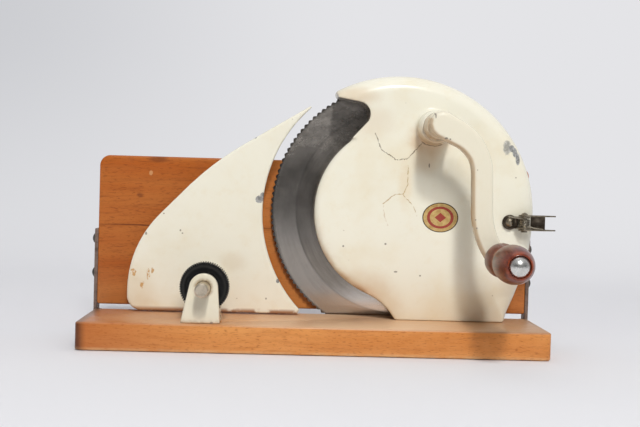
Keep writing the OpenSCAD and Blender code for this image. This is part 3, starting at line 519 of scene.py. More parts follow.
def housing_enamel():
    material, g, place, shader, color, rough, height = enamel_start("housing_enamel", 0.045)
    x, y, z = g.split(place)
    # brown dirt and painted shade along the drum's left edge and on the foot, and a painted reflection of the
    # wood in the foot's hollow
    away = g.reach(x, z, BLADE_AXIS)
    cloud = g.band(g.noise(place, 0.05, 5, 0.6), 0.35, 0.7)
    edge = g.times(g.band(away, 57.0, 68.0), g.band(x, 60.0, 10.0), g.band(z, 115.0, 60.0))
    color = g.tone_toward(color, g.times(edge, cloud), 0.8, tint(196, 160, 112))
    foot = spot(g, place, (38.0, 6.0, 32.0), (24.0, 30.0, 22.0), 0.8, 0.06, 0.55)
    color = g.tone_toward(color, foot, 0.48, tint(200, 163, 115))
    hollow = spot(g, place, (35.0, 8.0, 37.0), (12.0, 24.0, 8.0), 0.6, 0.08, 0.6)
    color = g.tone_toward(color, hollow, 0.45, tint(204, 150, 102))
    # painted shade under the hood and the beak, and a painted shadow below the boss
    hood = spot(g, place, (40.0, 6.0, 170.0), (14.0, 20.0, 11.0), 0.9, 0.07, 0.6)
    beak = spot(g, place, (28.0, 8.0, 188.0), (16.0, 16.0, 6.0), 0.9, 0.07, 0.6)
    boss = spot(g, place, (84.0, -6.0, 158.0), (16.0, 16.0, 11.0), 0.8, 0.09, 0.5)
    drip = spot(g, place, (81.0, HOUSE_FRONT, 147.0), (9.0, 12.0, 13.0), 0.7, 0.08, 0.6)
    for mask, share in ((hood, 0.22), (beak, 0.4), (boss, 0.75), (drip, 0.4)):
        color = g.tone_toward(color, mask, share, tint(198, 164, 122))
    low_rim = spot(g, place, (150.0, 20.0, 40.0), (22.0, 40.0, 30.0), 0.8, 0.05, 0.6)
    color = g.tone_toward(color, low_rim, 0.25, tint(206, 176, 134))
    # painted shade: the inner wall of the opening is dark like the shadowed gap by the disc, and a painted
    # shadow line runs along the drum's brink
    facing = g.split(g.put("TexCoord").outputs["Normal"])
    wall = g.times(g.band(facing["Y"], -0.6, -0.3), g.band(facing["Z"], 0.3, 0.05), g.band(y, 4.0, 9.0))
    wall = g.times(wall, g.band(away, 103.0, 99.0), g.band(x, 75.0, 60.0), g.band(z, 115.0, 125.0))
    color = g.tone_toward(color, wall, 0.9, tint(74, 70, 64))
    brink = g.times(g.band(facing["Y"], -0.4, -0.12), g.band(x, 72.0, 58.0), g.band(away, 96.0, 88.0))
    color = g.tone_toward(color, brink, 0.75, tint(98, 84, 68))
    # hair cracks: a dark one from the hood to the boss, a brown one below it
    f = HOUSE_FRONT
    dark = crack(g, place, [(42.4, f, 161.2), (46.8, f, 149.6), (58.0, f, 142.0), (66.3, f, 142.8),
                            (74.4, f, 151.3), (77.4, f, 155.0)], 0.55)
    collar = crack(g, place, [(76.5, f, 157.0), (80.0, f - 1, 153.8), (87.0, f - 1, 152.6),
                              (94.0, f - 1, 154.4)], 0.7, 1.0)
    brown = crack(g, place, [(67.7, f, 137.8), (67.7, f, 123.7), (64.6, f, 116.1), (58.8, f, 116.0),
                             (49.7, f, 109.0)], 0.55, 3.0)
    branch = crack(g, place, [(64.6, f, 115.5), (72.4, f, 107.9), (75.2, f, 99.7)], 0.5, 3.0)
    loop = crack(g, place, [(50.0, f, 107.0), (50.7, f, 101.0), (53.6, f, 92.4)], 0.6, 2.5)
    rim_line = crack(g, place, [(13.7, 14.0, 187.5), (22.0, 12.0, 193.0), (33.0, 10.0, 197.5)], 0.7, 2.0)
    right_line = crack(g, place, [(124.4, 10.0, 181.5), (131.4, 11.0, 175.7), (140.0, 13.0, 167.0)], 0.8, 3.0)
    halo = spot(g, place, (66.0, f, 124.0), (5.0, 6.0, 16.0), 1.2, 0.2, 0.6)
    color = g.tone_toward(color, halo, 0.25, tint(214, 180, 122))
    color = g.tone_toward(color, over(g, [brown, branch]), 0.75, tint(178, 146, 82))
    color = g.tone_toward(color, over(g, [loop, rim_line, right_line]), 0.45, tint(184, 150, 100))
    color = g.tone_toward(color, over(g, [dark, collar]), 0.85, CRACK_DARK)
    # a plain gilt oval with a red ring and lozenge, lightly worn
    dx, dz = g.off(x, BADGE_CENTRE[0]), g.off(z, BADGE_CENTRE[1])
    wide, tall = g.math("DIVIDE", dx, BADGE_HALF[0]), g.math("DIVIDE", dz, BADGE_HALF[1])
    oval = g.vector("LENGTH", g.join(wide, 0.0, tall))
    front = g.math("LESS_THAN", y, HOUSE_FRONT + 4.5)
    on_face = g.times(front, g.math("LESS_THAN", oval, 1.0))
    gilt = g.mix(g.band(g.noise(place, 0.35, 4, 0.6), 0.35, 0.7), tint(201, 172, 112), tint(176, 143, 84))
    ring = g.times(g.math("LESS_THAN", oval, 0.74), g.math("GREATER_THAN", oval, 0.58))
    gem = g.plus(g.math("DIVIDE", dx, GEM_HALF[0]), g.math("DIVIDE", dz, GEM_HALF[1]))
    gem = g.math("LESS_THAN", gem, 1.0)
    gilt = g.tone_toward(gilt, over(g, [ring, gem]), 0.92, tint(150, 44, 46))
    gilt = g.mix(g.math("GREATER_THAN", oval, 0.94), gilt, tint(70, 50, 34))
    wear_and_painted_light = g.band(g.noise(place, 0.5, 5, 0.7), 0.66, 0.74)
    shown = g.times(on_face, g.minus(1.0, g.times(wear_and_painted_light, 0.7)))
    color = g.mix(shown, color, gilt)
    # chips down to the metal
    worn = spot(g, place, (141.8, 6.0, 153.4), (3.0, 12.0, 5.4), 0.9, 0.5, 0.2)
    chips = spots(g, place, [
        ((145.6, 6.0, 152.8), (2.4, 12.0, 2.6), 0.3),
        ((148.2, 7.0, 149.8), (2.1, 12.0, 3.6), 0.3),
        ((150.4, 8.0, 144.8), (1.9, 12.0, 4.6), 0.3)], 0.5, 0.1)
    chips = over(g, [g.times(worn, 0.75), chips])
    nicks = spots(g, place, [
        ((20.7, f + 2, 76.0), (0.7, 8.0, 0.7), 0.5),
        ((52.4, f + 1, 78.5), (0.8, 8.0, 0.7), 0.5),
        ((60.9, f + 3, 57.5), (1.3, 8.0, 0.6), 0.6),
        ((79.6, f + 3, 55.0), (0.7, 8.0, 0.6), 0.5),
        ((83.4, f, 138.3), (0.5, 2.0, 1.6), 0.5)], 1.0, 0.2)
    color = g.tone_toward(color, nicks, 0.75, tint(92, 78, 62))
    cracks = over(g, [dark, collar, brown, branch])
    height = g.minus(height, g.times(cracks, 1.6))
    enamel_end(g, place, shader, color, rough, height, chips)
    return material


def fence_enamel():
    material, g, place, shader, color, rough, height = enamel_start("fence_enamel", 0.05)
    z = g.split(place)["Z"]
    # brown along the lower edge and a warm tint towards it
    edge = g.times(g.band(z, 25.2, 22.2), g.band(g.noise(place, 0.07, 4, 0.6), 0.36, 0.5))
    color = g.tone_toward(color, edge, 0.9, tint(157, 104, 66))
    warm = g.times(g.band(z, 60.0, 21.0), g.band(g.noise(place, 0.03, 3), 0.35, 0.7))
    color = g.tone_toward(color, warm, 0.22, tint(214, 186, 142))
    f = FENCE_FRONT
    rim = spot(g, place, (-138.0, f, 34.0), (14.0, 9.0, 18.0), 0.9, 0.08, 0.6)
    smear = spot(g, place, (-62.6, f, 60.0), (9.0, 6.0, 7.0), 0.9, 0.1, 0.7)
    color = g.tone_toward(color, over(g, [rim, smear]), 0.25, tint(205, 178, 136))
    # broken brown scratches at the left end, small nicks, chips down to the metal
    worn = spots(g, place, [
        ((-139.1, f, 50.3), (2.3, 4.0, 2.9), 1.5),
        ((-127.2, f, 49.3), (1.4, 4.0, 4.0), 1.7),
        ((-132.0, f, 41.2), (1.9, 4.0, 2.7), 1.5),
        ((-124.5, f, 52.0), (1.4, 4.0, 2.0), 1.6)], 0.6, 0.1)
    broken = g.band(g.noise(g.vector("MULTIPLY", place, (1.0, 1.0, 0.6)), 0.6, 4, 0.6), 0.44, 0.54)
    color = g.tone_toward(color, g.times(worn, broken), 0.85, tint(198, 148, 78))
    nicks = spots(g, place, [
        ((-103.6, f, 83.4), (0.7, 2.0, 0.8), 0.5),
        ((-102.0, f, 81.2), (0.7, 2.0, 0.6), 0.5),
        ((-129.8, f, 80.3), (0.8, 3.0, 1.2), 0.6),
        ((-36.5, f, 32.4), (0.6, 2.0, 0.7), 0.5)], 1.0, 0.2)
    color = g.tone_toward(color, nicks, 0.7, tint(110, 96, 76))
    large = spots(g, place, [
        ((-43.6, f, 109.0), (3.0, 6.0, 3.0), 0.9),
        ((-41.4, f, 112.0), (1.5, 6.0, 2.2), 0.8)], 0.45, 0.06)
    small = spots(g, place, [
        ((-27.8, f, 46.2), (1.3, 5.0, 1.6), 0.8),
        ((-48.3, f, 156.2), (1.2, 5.0, 0.8), 0.8)], 0.6, 0.1)
    chips = over(g, [large, small])
    enamel_end(g, place, shader, color, rough, height, chips)
    return material


def arm_enamel():
    material, g, place, shader, color, rough, height = enamel_start("arm_enamel", 0.06)
    y = g.split(place)["Y"]
    # painted shade: the arm's cream is toned darker than the housing's
    color = g.mix(0.28, color, tint(208, 190, 156))
    # brown round the hub behind the arm, partly grime and partly painted shade
    wear_and_painted_light = g.times(g.band(y, -36.6, -34.0), g.band(g.noise(place, 0.1, 4), 0.2, 0.55, 0.6, 1.0))
    color = g.tone_toward(color, wear_and_painted_light, 0.8, tint(158, 134, 98))
    # painted shade on the inner edge of the bend, which faces away from the light, with some brown grease
    facing = g.split(g.put("TexCoord").outputs["Normal"])
    turned_in = g.plus(g.times(facing["X"], 0.75), g.times(facing["Z"], 0.55))
    inner = g.times(g.band(turned_in, -0.1, -0.5), g.band(g.noise(place, 0.08, 4), 0.15, 0.55, 0.6, 1.0))
    color = g.tone_toward(color, inner, 0.7, tint(186, 152, 110))
    dots = over(g, [
        spot(g, place, (88.3, -44.0, 157.0), (1.5, 5.0, 0.9), 0.8, 0.8, 0.15),
        spot(g, place, (91.0, -44.0, 156.4), (0.7, 5.0, 0.8), 0.8, 0.8, 0.15),
        spot(g, place, (80.4, -44.0, 172.6), (0.45, 6.0, 2.6), 0.9, 0.7, 0.2),
        spot(g, place, (110.9, -43.0, 100.1), (0.9, 5.0, 1.0), 0.6, 0.8, 0.2),
        spot(g, place, (111.9, -43.0, 94.2), (0.9, 5.0, 1.2), 0.6, 0.8, 0.2)])
    color = g.tone_toward(color, dots, 0.8, tint(96, 80, 64))
    enamel_end(g, place, shader, color, rough, height, g.times(dots, 0.2))
    return material


def bracket_enamel():
    material, g, place, shader, color, rough, height = enamel_start("bracket_enamel", 0.06)
    x, _, z = g.split(place)
    away = g.reach(x, z, SPINDLE_AXIS)
    # a darker cream than the housing's, partly painted shade
    color = g.mix(0.4, color, tint(206, 192, 160))
    grime = g.times(g.band(away, 8.2, 5.2), g.band(g.noise(place, 0.3, 3), 0.25, 0.6))
    color = g.tone_toward(color, grime, 0.75, tint(142, 110, 70))
    low = g.times(g.band(z, 24.0, 20.0), g.band(g.noise(place, 0.12, 4), 0.4, 0.65))
    color = g.tone_toward(color, low, 0.5, tint(150, 122, 86))
    chips = spots(g, place, [
        ((-74.0, -34.0, 20.6), (1.2, 3.0, 0.9), 0.8),
        ((-67.6, -30.0, 21.0), (1.0, 2.0, 1.4), 0.8)], 0.8, 0.15)
    enamel_end(g, place, shader, color, rough, height, g.times(chips, 0.8))
    return material


def base_beech():
    material, g, place, shader = finish_of("base_beech", Specular_IOR_Level=0.35)
    x, y, z = g.split(place)
    wood = g.group(WOOD_FIGURE, Vector=place, Light=tint(217, 149, 83), Mid=tint(203, 128, 62),
                   Dark=tint(156, 82, 36), Flecks=0.6)
    color = wood["Color"]
    mottle = g.band(g.noise(g.vector("MULTIPLY", place, (0.5, 1.0, 1.0)), 0.22, 4, 0.65), 0.35, 0.7)
    color = g.tone_toward(color, mottle, 0.2, tint(228, 160, 94))
    # darker towards the left, with painted shade on the rounded left end, which faces away from the light
    left = g.band(x, -60.0, BASE_LEFT - 2.0)
    color = g.tone_toward(color, left, 0.65, tint(168, 86, 32))
    uneven = g.band(g.noise(place, 0.08, 3), 0.2, 0.5, 0.85, 1.0)
    end = g.times(g.band(x, BASE_LEFT + 9.0, BASE_LEFT + 1.5), uneven)
    color = g.tone_toward(color, end, 0.9, tint(84, 44, 24))
    # the top carries a painted sheen, in patches and strongest in the middle, and a painted shadow at the right
    top = g.band(z, BASE_TOP - 1.4, BASE_TOP - 0.2)
    patches = g.times(top, g.band(g.noise(place, 0.02, 4, 0.6), 0.3, 0.65), g.band(x, -150.0, -50.0, 0.5, 1.0))
    color = g.tone_toward(color, patches, 0.75, tint(222, 184, 146))
    pale = g.times(top, g.band(g.off(x, 20.0), 95.0, 35.0))
    color = g.tone_toward(color, pale, 0.5, tint(238, 204, 168))
    grey = g.times(top, g.band(x, 100.0, 140.0))
    color = g.tone_toward(color, grey, 0.42, tint(138, 98, 64))
    # a pale lower edge and a dark front arris
    low = g.times(g.band(z, 3.2, 0.4), g.band(g.noise(place, 0.05, 3), 0.3, 0.6))
    color = g.tone_toward(color, low, 0.6, tint(222, 182, 134))
    arris = g.times(g.band(z, BASE_TOP - 1.8, BASE_TOP - 0.4), g.math("LESS_THAN", y, BASE_FRONT + 1.8))
    color = g.tone_toward(color, arris, 0.3, tint(160, 94, 50))
    g.feed(shader.inputs["Base Color"], color)
    g.feed(shader.inputs["Roughness"], wood["Roughness"])
    relief(g, shader, wood["Height"], 0.08)
    return material


def tray_beech():
    material, g, place, shader = finish_of("tray_beech", Specular_IOR_Level=0.25)
    x, y, z = g.split(place)
    wood = g.group(WOOD_FIGURE, Vector=g.vector("ADD", place, (310.0, 40.0, 90.0)), Light=tint(184, 107, 47),
                   Mid=tint(173, 90, 32), Dark=tint(116, 54, 18), Flecks=0.42)
    color = wood["Color"]
    # painted light: paler towards the bottom of the board, which lies in shade there
    low = g.times(g.band(z, 62.0, 26.0), g.band(g.noise(place, 0.03, 3), 0.25, 0.6, 0.6, 1.0))
    color = g.tone_toward(color, low, 0.4, tint(206, 142, 84))
    # painted light: paler on the strip round the disc, where the fence shades the board
    round_disc = g.reach(x, z, BLADE_AXIS)
    front = g.band(y, TRAY_FRONT + 3.0, TRAY_FRONT + 1.0)
    wear_and_painted_light = g.times(g.band(round_disc, 120.0, 104.0), g.band(x, 10.0, -8.0), front)
    color = g.tone_toward(color, wear_and_painted_light, 0.28, tint(236, 160, 86))
    # glue line between two boards, dark marks near the top
    wave = g.plus(z, g.times(g.minus(g.noise(place, 0.02, 3), 0.5), 2.4))
    filled = g.band(g.noise(place, 0.03, 3), 0.3, 0.5, 0.45, 1.0)
    seam = g.times(g.band(g.off(wave, TRAY_SEAM), 0.9, 0.25), filled, g.band(x, -15.0, -60.0, 0.2, 1.0))
    color = g.tone_toward(color, seam, 0.7, tint(92, 44, 20))
    marks = over(g, [
        spot(g, place, (-124.8, TRAY_FRONT, 138.0), (7.0, 12.0, 2.6), 1.0, 0.15, 0.5),
        spot(g, place, (-138.2, TRAY_FRONT, 109.2), (2.4, 6.0, 1.8), 0.9, 0.4, 0.5),
        spot(g, place, (-80.0, TRAY_FRONT, 128.0), (9.0, 6.0, 1.6), 1.0, 0.12, 0.6)])
    color = g.tone_toward(color, marks, 0.55, tint(96, 46, 24))
    pale = spot(g, place, (-130.0, TRAY_FRONT, 127.0), (1.4, 4.0, 2.0), 0.9, 0.5, 0.3)
    color = g.tone_toward(color, pale, 0.6, tint(214, 164, 112))
    g.feed(shader.inputs["Base Color"], color)
    g.feed(shader.inputs["Roughness"], wood["Roughness"])
    relief(g, shader, g.minus(wood["Height"], seam), 0.1)
    return material


def grip_lacquer():
    material, g, place, shader = finish_of("grip_lacquer", Specular_IOR_Level=0.32, Coat_Weight=0.22,
                                           Coat_Roughness=0.12)
    y = g.split(place)["Y"]
    streak = g.noise(g.vector("MULTIPLY", place, (0.9, 0.06, 0.9)), 1.0, 5, 0.6)
    color = g.mix(g.band(streak, 0.3, 0.75), tint(114, 46, 25), tint(72, 25, 14))
    cloud = g.band(g.noise(place, 0.12, 4, 0.6), 0.4, 0.75)
    color = g.tone_toward(color, cloud, 0.25, tint(136, 80, 60))
    # the groove is rubbed down to pale wood
    groove = g.band(g.off(y, GRIP_GROOVE), 4.4, 1.2)
    bare = g.times(groove, g.band(g.noise(place, 0.2, 4, 0.6), 0.25, 0.55))
    color = g.tone_toward(color, bare, 0.85, tint(206, 156, 122))
    rim = g.times(g.band(y, -109.0, -113.5), g.band(g.noise(place, 0.25, 4), 0.4, 0.65))
    color = g.tone_toward(color, rim, 0.35, tint(196, 92, 48))
    g.feed(shader.inputs["Base Color"], color)
    g.feed(shader.inputs["Roughness"], g.plus(0.28, g.times(bare, 0.25)))
    relief(g, shader, g.minus(streak, bare), 0.05)
    return material


def blade_steel():
    material, g, place, shader = finish_of("blade_steel")
    x, _, z = g.split(place)
    dx, dz = g.minus(x, BLADE_AXIS[0]), g.minus(z, BLADE_AXIS[1])
    away = g.vector("LENGTH", g.join(dx, 0.0, dz))
    # fine turning lines that fade in and out round the disc
    side_x, side_z = g.math("DIVIDE", dx, away), g.math("DIVIDE", dz, away)
    rings = g.noise(g.join(away, g.times(side_x, 3.0), g.times(side_z, 3.0)), 0.8, 4, 0.7)
    wide = g.noise(g.join(g.times(away, 0.1), side_x, side_z), 1.0, 3)
    haze = g.noise(place, 0.035, 5, 0.6)
    color = g.mix(g.band(rings, 0.35, 0.7), tint(178, 171, 163), tint(156, 150, 143))
    color = g.mix(g.band(wide, 0.35, 0.65, 0.0, 0.5), color, tint(128, 123, 118))
    color = g.mix(g.band(haze, 0.48, 0.75, 0.0, 0.4), color, tint(192, 185, 176))
    # painted reflections: pale near the foot, darker at the left and below the middle; dulled by scuffs at the
    # top
    bright = g.times(g.band(z, 50.0, 24.0), g.band(x, -10.0, 40.0))
    color = g.tone_toward(color, bright, 0.85, tint(234, 228, 222))
    left = g.times(g.band(x, 10.0, -12.0), g.band(g.off(z, 106.0), 62.0, 20.0))
    color = g.tone_toward(color, left, 0.55, tint(88, 84, 79))
    low = g.band(g.off(z, 54.0), 30.0, 8.0)
    color = g.tone_toward(color, low, 0.4, tint(118, 106, 90))
    scuffs = g.noise(g.vector("MULTIPLY", place, (1.0, 1.0, 1.6)), 0.09, 6, 0.72)
    matte = g.times(g.band(z, 128.0, 172.0, 0.08, 0.54), g.band(scuffs, 0.3, 0.75, 0.4, 1.0))
    g.feed(shader.inputs["Metallic"], g.minus(1.0, matte))
    # the ground ring is paler, with a painted shade line at its foot
    ground = g.band(away, GROUND_RING - 1.0, GROUND_RING + 1.5)
    color = g.tone_toward(color, ground, 0.3, tint(190, 184, 177))
    step = g.band(g.off(away, GROUND_RING), 1.4, 0.3)
    color = g.tone_toward(color, step, 0.22, tint(90, 88, 86))
    toothed = g.band(away, TOOTH_FOOT, TOOTH_FOOT + 1.6)
    color = g.tone_toward(color, toothed, 0.75, tint(60, 52, 46))
    pits = g.times(g.band(g.noise(place, 0.6, 4, 0.7), 0.66, 0.72), g.band(g.noise(place, 0.03, 2), 0.5, 0.62))
    color = g.tone_toward(color, pits, 0.6, tint(64, 56, 50))
    g.feed(shader.inputs["Base Color"], color)
    rough = g.plus(g.band(rings, 0.2, 0.8, 0.13, 0.18), g.band(haze, 0.4, 0.7, 0.0, 0.06))
    rough = g.plus(rough, g.times(matte, 0.3))
    g.feed(shader.inputs["Roughness"], g.plus(rough, g.times(pits, 0.25)))
    relief(g, shader, rings, 0.006)
    return material


def plain_metal(name, clean, soiled, amount, gloss, depth=0.02, metallic=1.0, shift=(0.0, 0.0, 0.0)):
    material, g, place, shader = finish_of(name, Metallic=metallic)
    place = g.vector("ADD", place, shift)
    marks = g.group(METAL_MARKS, Vector=place, Clean=clean, Soiled=soiled, Amount=amount, Gloss=gloss)
    g.feed(shader.inputs["Base Color"], marks["Color"])
    g.feed(shader.inputs["Roughness"], marks["Roughness"])
    relief(g, shader, marks["Height"], depth)
    return material


def black_bakelite():
    material, g, place, shader = finish_of("black_bakelite", Specular_IOR_Level=0.25)
    dust = g.band(g.noise(place, 0.3, 5, 0.65), 0.45, 0.75)
    color = g.tone_toward(tint(14, 14, 14), dust, 0.5, tint(36, 34, 31))
    x, _, z = g.split(place)
    away = g.reach(x, z, SPINDLE_AXIS)
    # painted highlights: a pale ring on the face and grey glints along the knurl
    ring = g.band(g.off(away, 15.2), 1.1, 0.3)
    color = g.tone_toward(color, ring, 0.35, tint(54, 52, 47))
    knurl = g.band(away, WHEEL_VALLEY + 0.1, WHEEL_VALLEY + 0.9)
    color = g.tone_toward(color, knurl, 0.8, tint(88, 85, 79))
    g.feed(shader.inputs["Base Color"], color)
    g.feed(shader.inputs["Roughness"], g.band(g.noise(place, 0.2, 4), 0.3, 0.7, 0.32, 0.5))
    relief(g, shader, g.noise(place, 0.8, 3), 0.02)
    return material


def latch_nickel():
    """Worn nickel, nearly black deep in the fold with old oil and painted shade."""
    material, g, place, shader = finish_of("latch_nickel", Metallic=1.0)
    y = g.split(place)["Y"]
    marks = g.group(METAL_MARKS, Vector=place, Clean=tint(158, 147, 128), Soiled=tint(70, 58, 46), Amount=0.9,
                    Gloss=0.3)
    # old oil and painted shade darken the back of the fold
    oil_and_shade = g.times(g.band(y, -5.5, -1.0), g.band(g.noise(place, 0.25, 4), 0.2, 0.55, 0.6, 1.0))
    g.feed(shader.inputs["Base Color"], g.tone_toward(marks["Color"], oil_and_shade, 0.8, tint(58, 47, 39)))
    g.feed(shader.inputs["Roughness"], marks["Roughness"])
    relief(g, shader, marks["Height"], 0.02)
    return material


HOUSING = housing_enamel()
FENCE = fence_enamel()
ARM = arm_enamel()
BRACKET = bracket_enamel()
BASE = base_beech()
TRAY = tray_beech()
GRIP = grip_lacquer()
BLADE = blade_steel()
BAKELITE = black_bakelite()
LATCH = latch_nickel()
NICKEL = plain_metal("dull_nickel", tint(150, 140, 122), tint(62, 52, 40), 0.9, 0.3)
BRIGHT = plain_metal("bright_nickel", tint(222, 221, 217), tint(168, 162, 150), 0.25, 0.26, 0.005)
STEEL = plain_metal("turned_steel", tint(222, 209, 188), tint(150, 132, 106), 0.5, 0.28)
SCREWS = plain_metal("screw_steel", tint(150, 144, 134), tint(86, 74, 60), 0.7, 0.35, 0.03,
                     shift=(31.0, 17.0, 5.0))
SPRING = plain_metal("spring_wire", tint(160, 152, 136), tint(84, 72, 58), 0.6, 0.3, 0.01)
IRON = plain_metal("greased_iron", tint(118, 114, 108), tint(58, 50, 40), 0.9, 0.34, 0.04)
PLATE = plain_metal("zinc_plate", tint(166, 166, 164), tint(124, 120, 112), 0.6, 0.4, 0.03)
FOLDED = plain_metal("folded_sheet", tint(128, 124, 118), tint(84, 72, 58), 0.7, 0.42, 0.03)
BROWNED = plain_metal("browned_steel", tint(142, 121, 110), tint(78, 63, 55), 0.7, 0.46, 0.04, 0.6)
BOLTS = plain_metal("blackened_bolts", tint(92, 88, 82), tint(48, 42, 36), 0.7, 0.45, 0.03, 0.9)
BRASS = plain_metal("brass", tint(196, 158, 92), tint(120, 86, 44), 0.6, 0.28, 0.02)

# Castings under enamel
housing = cast("housing", "housing_cast", 1.1, 6)
tighten_rim(housing)
straighten_foot(housing)
modify(housing, "SMOOTH", factor=0.5, iterations=4)
stand_for(housing, "base", "enamel", HOUSING, "housing")
fence = cast("fence_plate", "fence_cast", 0.9, 6)
stand_for(fence, "fence", "enamel", FENCE, "fence_plate")
arm = cast("crank_arm", "crank_arm_cast", 0.6, 5)
stand_for(arm, "crank", "enamel", ARM, "crank_arm")
bracket = cast("wheel_bracket", "wheel_bracket_cast", 0.6, 8)
stand_for(bracket, "base", "enamel", BRACKET, "wheel_bracket")

# Boards and sheet pieces with eased edges
base = eased("base_board", "base_board_eased", 1.3, 3)
stand_for(base, "base", "base_wood", BASE, "base_board")
tray = eased("tray_board", "tray_board_eased", 1.4, 3)
stand_for(tray, "tray", "tray_wood", TRAY, "tray_board")
for node, body, width, finish, slot in (
        ("tray_strip_left", "tray", 0.5, BROWNED, "dark_steel"),
        ("tray_strip_right", "tray", 0.5, BROWNED, "dark_steel"),
        ("latch_bracket", "base", 0.2, LATCH, "nickel"),
        ("latch_lever", "latch", 0.2, LATCH, "nickel")):
    stand_for(eased(node, node + "_eased", width), body, slot, finish, node)

# The thumbwheel with a deeper knurl
wheel = node_copy("thumbwheel", "thumbwheel_knurled")
edit(wheel)
bpy.ops.mesh.dissolve_limited(angle_limit=math.radians(FLAT_ANGLE))
done(wheel)
for vertex in wheel.data.vertices:
    dx, dz = vertex.co.x - SPINDLE_AXIS[0] * MM, vertex.co.z - SPINDLE_AXIS[1] * MM
    reach = math.hypot(dx, dz)
    if abs(reach / MM - WHEEL_VALLEY) < KNURL_RANGE:
        share = (WHEEL_VALLEY - KNURL_DEEPER) * MM / reach
        vertex.co.x = SPINDLE_AXIS[0] * MM + dx * share
        vertex.co.z = SPINDLE_AXIS[1] * MM + dz * share
smooth(wheel, 25)
stand_for(wheel, "thumbwheel", "black_plastic", BAKELITE, "thumbwheel")

# The grip, turned in one piece
outside = flowing([(6.8, -48.3), (9.4, -48.9), (11.2, -51.2), (12.1, -55.0), (12.1, -60.5), (11.3, -65.0),
                   (9.9, -68.8), (8.9, -72.2), (9.3, -75.4), (10.7, -79.0), (12.2, -83.4), (13.1, -89.0),
                   (13.15, -96.5), (12.4, -103.0), (11.0, -108.5), (9.2, -112.6), (8.3, -113.9), (7.7, -114.3)])
inside = [(7.5, -113.9), (7.5, -111.8), (4.06, -111.8), (4.06, -48.3)]
grip = turned("grip_turned", [tuple(p) for p in outside] + inside, GRIP_AXIS)
stand_for(grip, "handle", "grip_wood", GRIP, "handle_grip")

# The latch spring as a round wire
wire = [(13.4, -3.3, -4.5), (9.0, -3.4, -4.0), (3.4, -COIL_RADIUS, COIL_LOW - 0.1)]
for i in range(COIL_STEPS * COILS + 1):
    turn = 2 * math.pi * i / COIL_STEPS - math.pi / 2
    x, y = COIL_RADIUS * math.cos(turn), COIL_RADIUS * math.sin(turn)
    wire.append((x, y, COIL_LOW + COIL_PITCH * i / COIL_STEPS))
wire += [(-4.0, -COIL_RADIUS, COIL_LOW + COIL_PITCH * COILS + 0.3), (-12.6, -3.6, 4.5)]
clear_choice()
bpy.ops.curve.primitive_nurbs_path_add()
spring = bpy.context.view_layer.objects.active
spring.name = "latch_spring_wire"
line = spring.data
line.splines.clear()
path = line.splines.new("POLY")
path.points.add(len(wire) - 1)
for point, place in zip(path.points, wire):
    point.co = (*((Vector(place) + Vector(LATCH_PIN)) * MM), 1.0)
line.bevel_depth = WIRE_RADIUS * MM
line.bevel_resolution = 3
line.use_fill_caps = True
pick(spring)
bpy.ops.object.convert(target="MESH")
spring = bpy.context.view_layer.objects.active
smooth(spring, 50)
stand_for(spring, "base", "steel", SPRING, "latch_spring")

# Finishes on the pieces that keep their CAD form
for finish, names in (
        (BLADE, ["blade_disc"]),
        (STEEL, ["blade_axle", "blade_cap", "crank_shaft", "fence_spindle"]),
        (BRIGHT, ["handle_stud"]),
        (NICKEL, ["latch_pin", "latch_screw"]),
        (SCREWS, ["plate_screws", "blade_screws", "pinion_pin", "arm_pin", "channel_screws", "hinge_screws",
                  "slide_screw"]),
        (IRON, ["blade_gear", "crank_pinion"]),
        (PLATE, ["gear_plate"]),
        (FOLDED, ["guide_channel", "fence_slide"]),
        (BROWNED, ["hinge_plate_left", "hinge_plate_right", "hinge_pins"]),
        (BOLTS, ["housing_bolts", "bracket_bolts", "tray_screws"]),
        (BRASS, ["crank_bush", "hub_bush", "wheel_insert"])):
    for name in names:
        nodes[name].data.materials.clear()
        nodes[name].data.materials.append(finish)

# Pale sweep, light and camera
clear_choice()
bpy.ops.mesh.primitive_plane_add(size=2.0, location=(0, 0, -FLOOR_DROP))
sweep = bpy.context.view_layer.objects.active
sweep.name = "pale_sweep"
corners = [(x, y, 0) for y in (-SWEEP_HALF, SWEEP_BACK) for x in (-SWEEP_HALF, SWEEP_HALF)]
for vertex, corner in zip(sweep.data.vertices, corners):
    vertex.co = corner
edit(sweep, "EDGE")
bpy.ops.mesh.select_all(action="DESELECT")
done(sweep)
for rim in sweep.data.edges:
    rim.select = all(sweep.data.vertices[i].co.y > 1.0 for i in rim.vertices)
bpy.ops.object.mode_set(mode="EDIT")
bpy.ops.mesh.extrude_region_move(TRANSFORM_OT_translate={"value": (0, 0, SWEEP_HEIGHT)})
bpy.ops.mesh.select_all(action="DESELECT")
done(sweep)
for rim in sweep.data.edges:
    ends = [sweep.data.vertices[i].co for i in rim.vertices]
    rim.select = all(end.y > 1.0 and end.z < 0.1 for end in ends)
bpy.ops.object.mode_set(mode="EDIT")
bpy.ops.mesh.bevel(offset=SWEEP_ROUND, segments=24, affect="EDGES")
done(sweep)
pick(sweep)
bpy.ops.object.shade_smooth()
paper, g, place, shader = finish_of("pale_paper", Roughness=0.9, Specular_IOR_Level=0.1)
pale = g.mix(g.noise(place, 0.004, 2), tint(233, 233, 235), tint(230, 230, 233))
g.feed(shader.inputs["Base Color"], pale)
# the wall glows its own even grey to the camera and to bright metal, with painted shade towards the upper left
x, y, z = g.split(place)
dim = g.times(g.band(x, 150.0, -700.0), g.band(z, 0.0, 420.0, 0.45, 1.0))
glow = g.put("Emission", Color=g.mix(dim, tint(228, 228, 231), tint(203, 204, 208)), Strength=1.0)
rays = g.put("LightPath").outputs
seen = g.math("MAXIMUM", rays["Is Camera Ray"], rays["Is Glossy Ray"])
wall = g.times(g.band(y, 250.0, 1000.0), seen)
blended = g.put("MixShader", Fac=wall)
g.feed(blended.inputs[1], shader.outputs["BSDF"])
g.feed(blended.inputs[2], glow.outputs["Emission"])
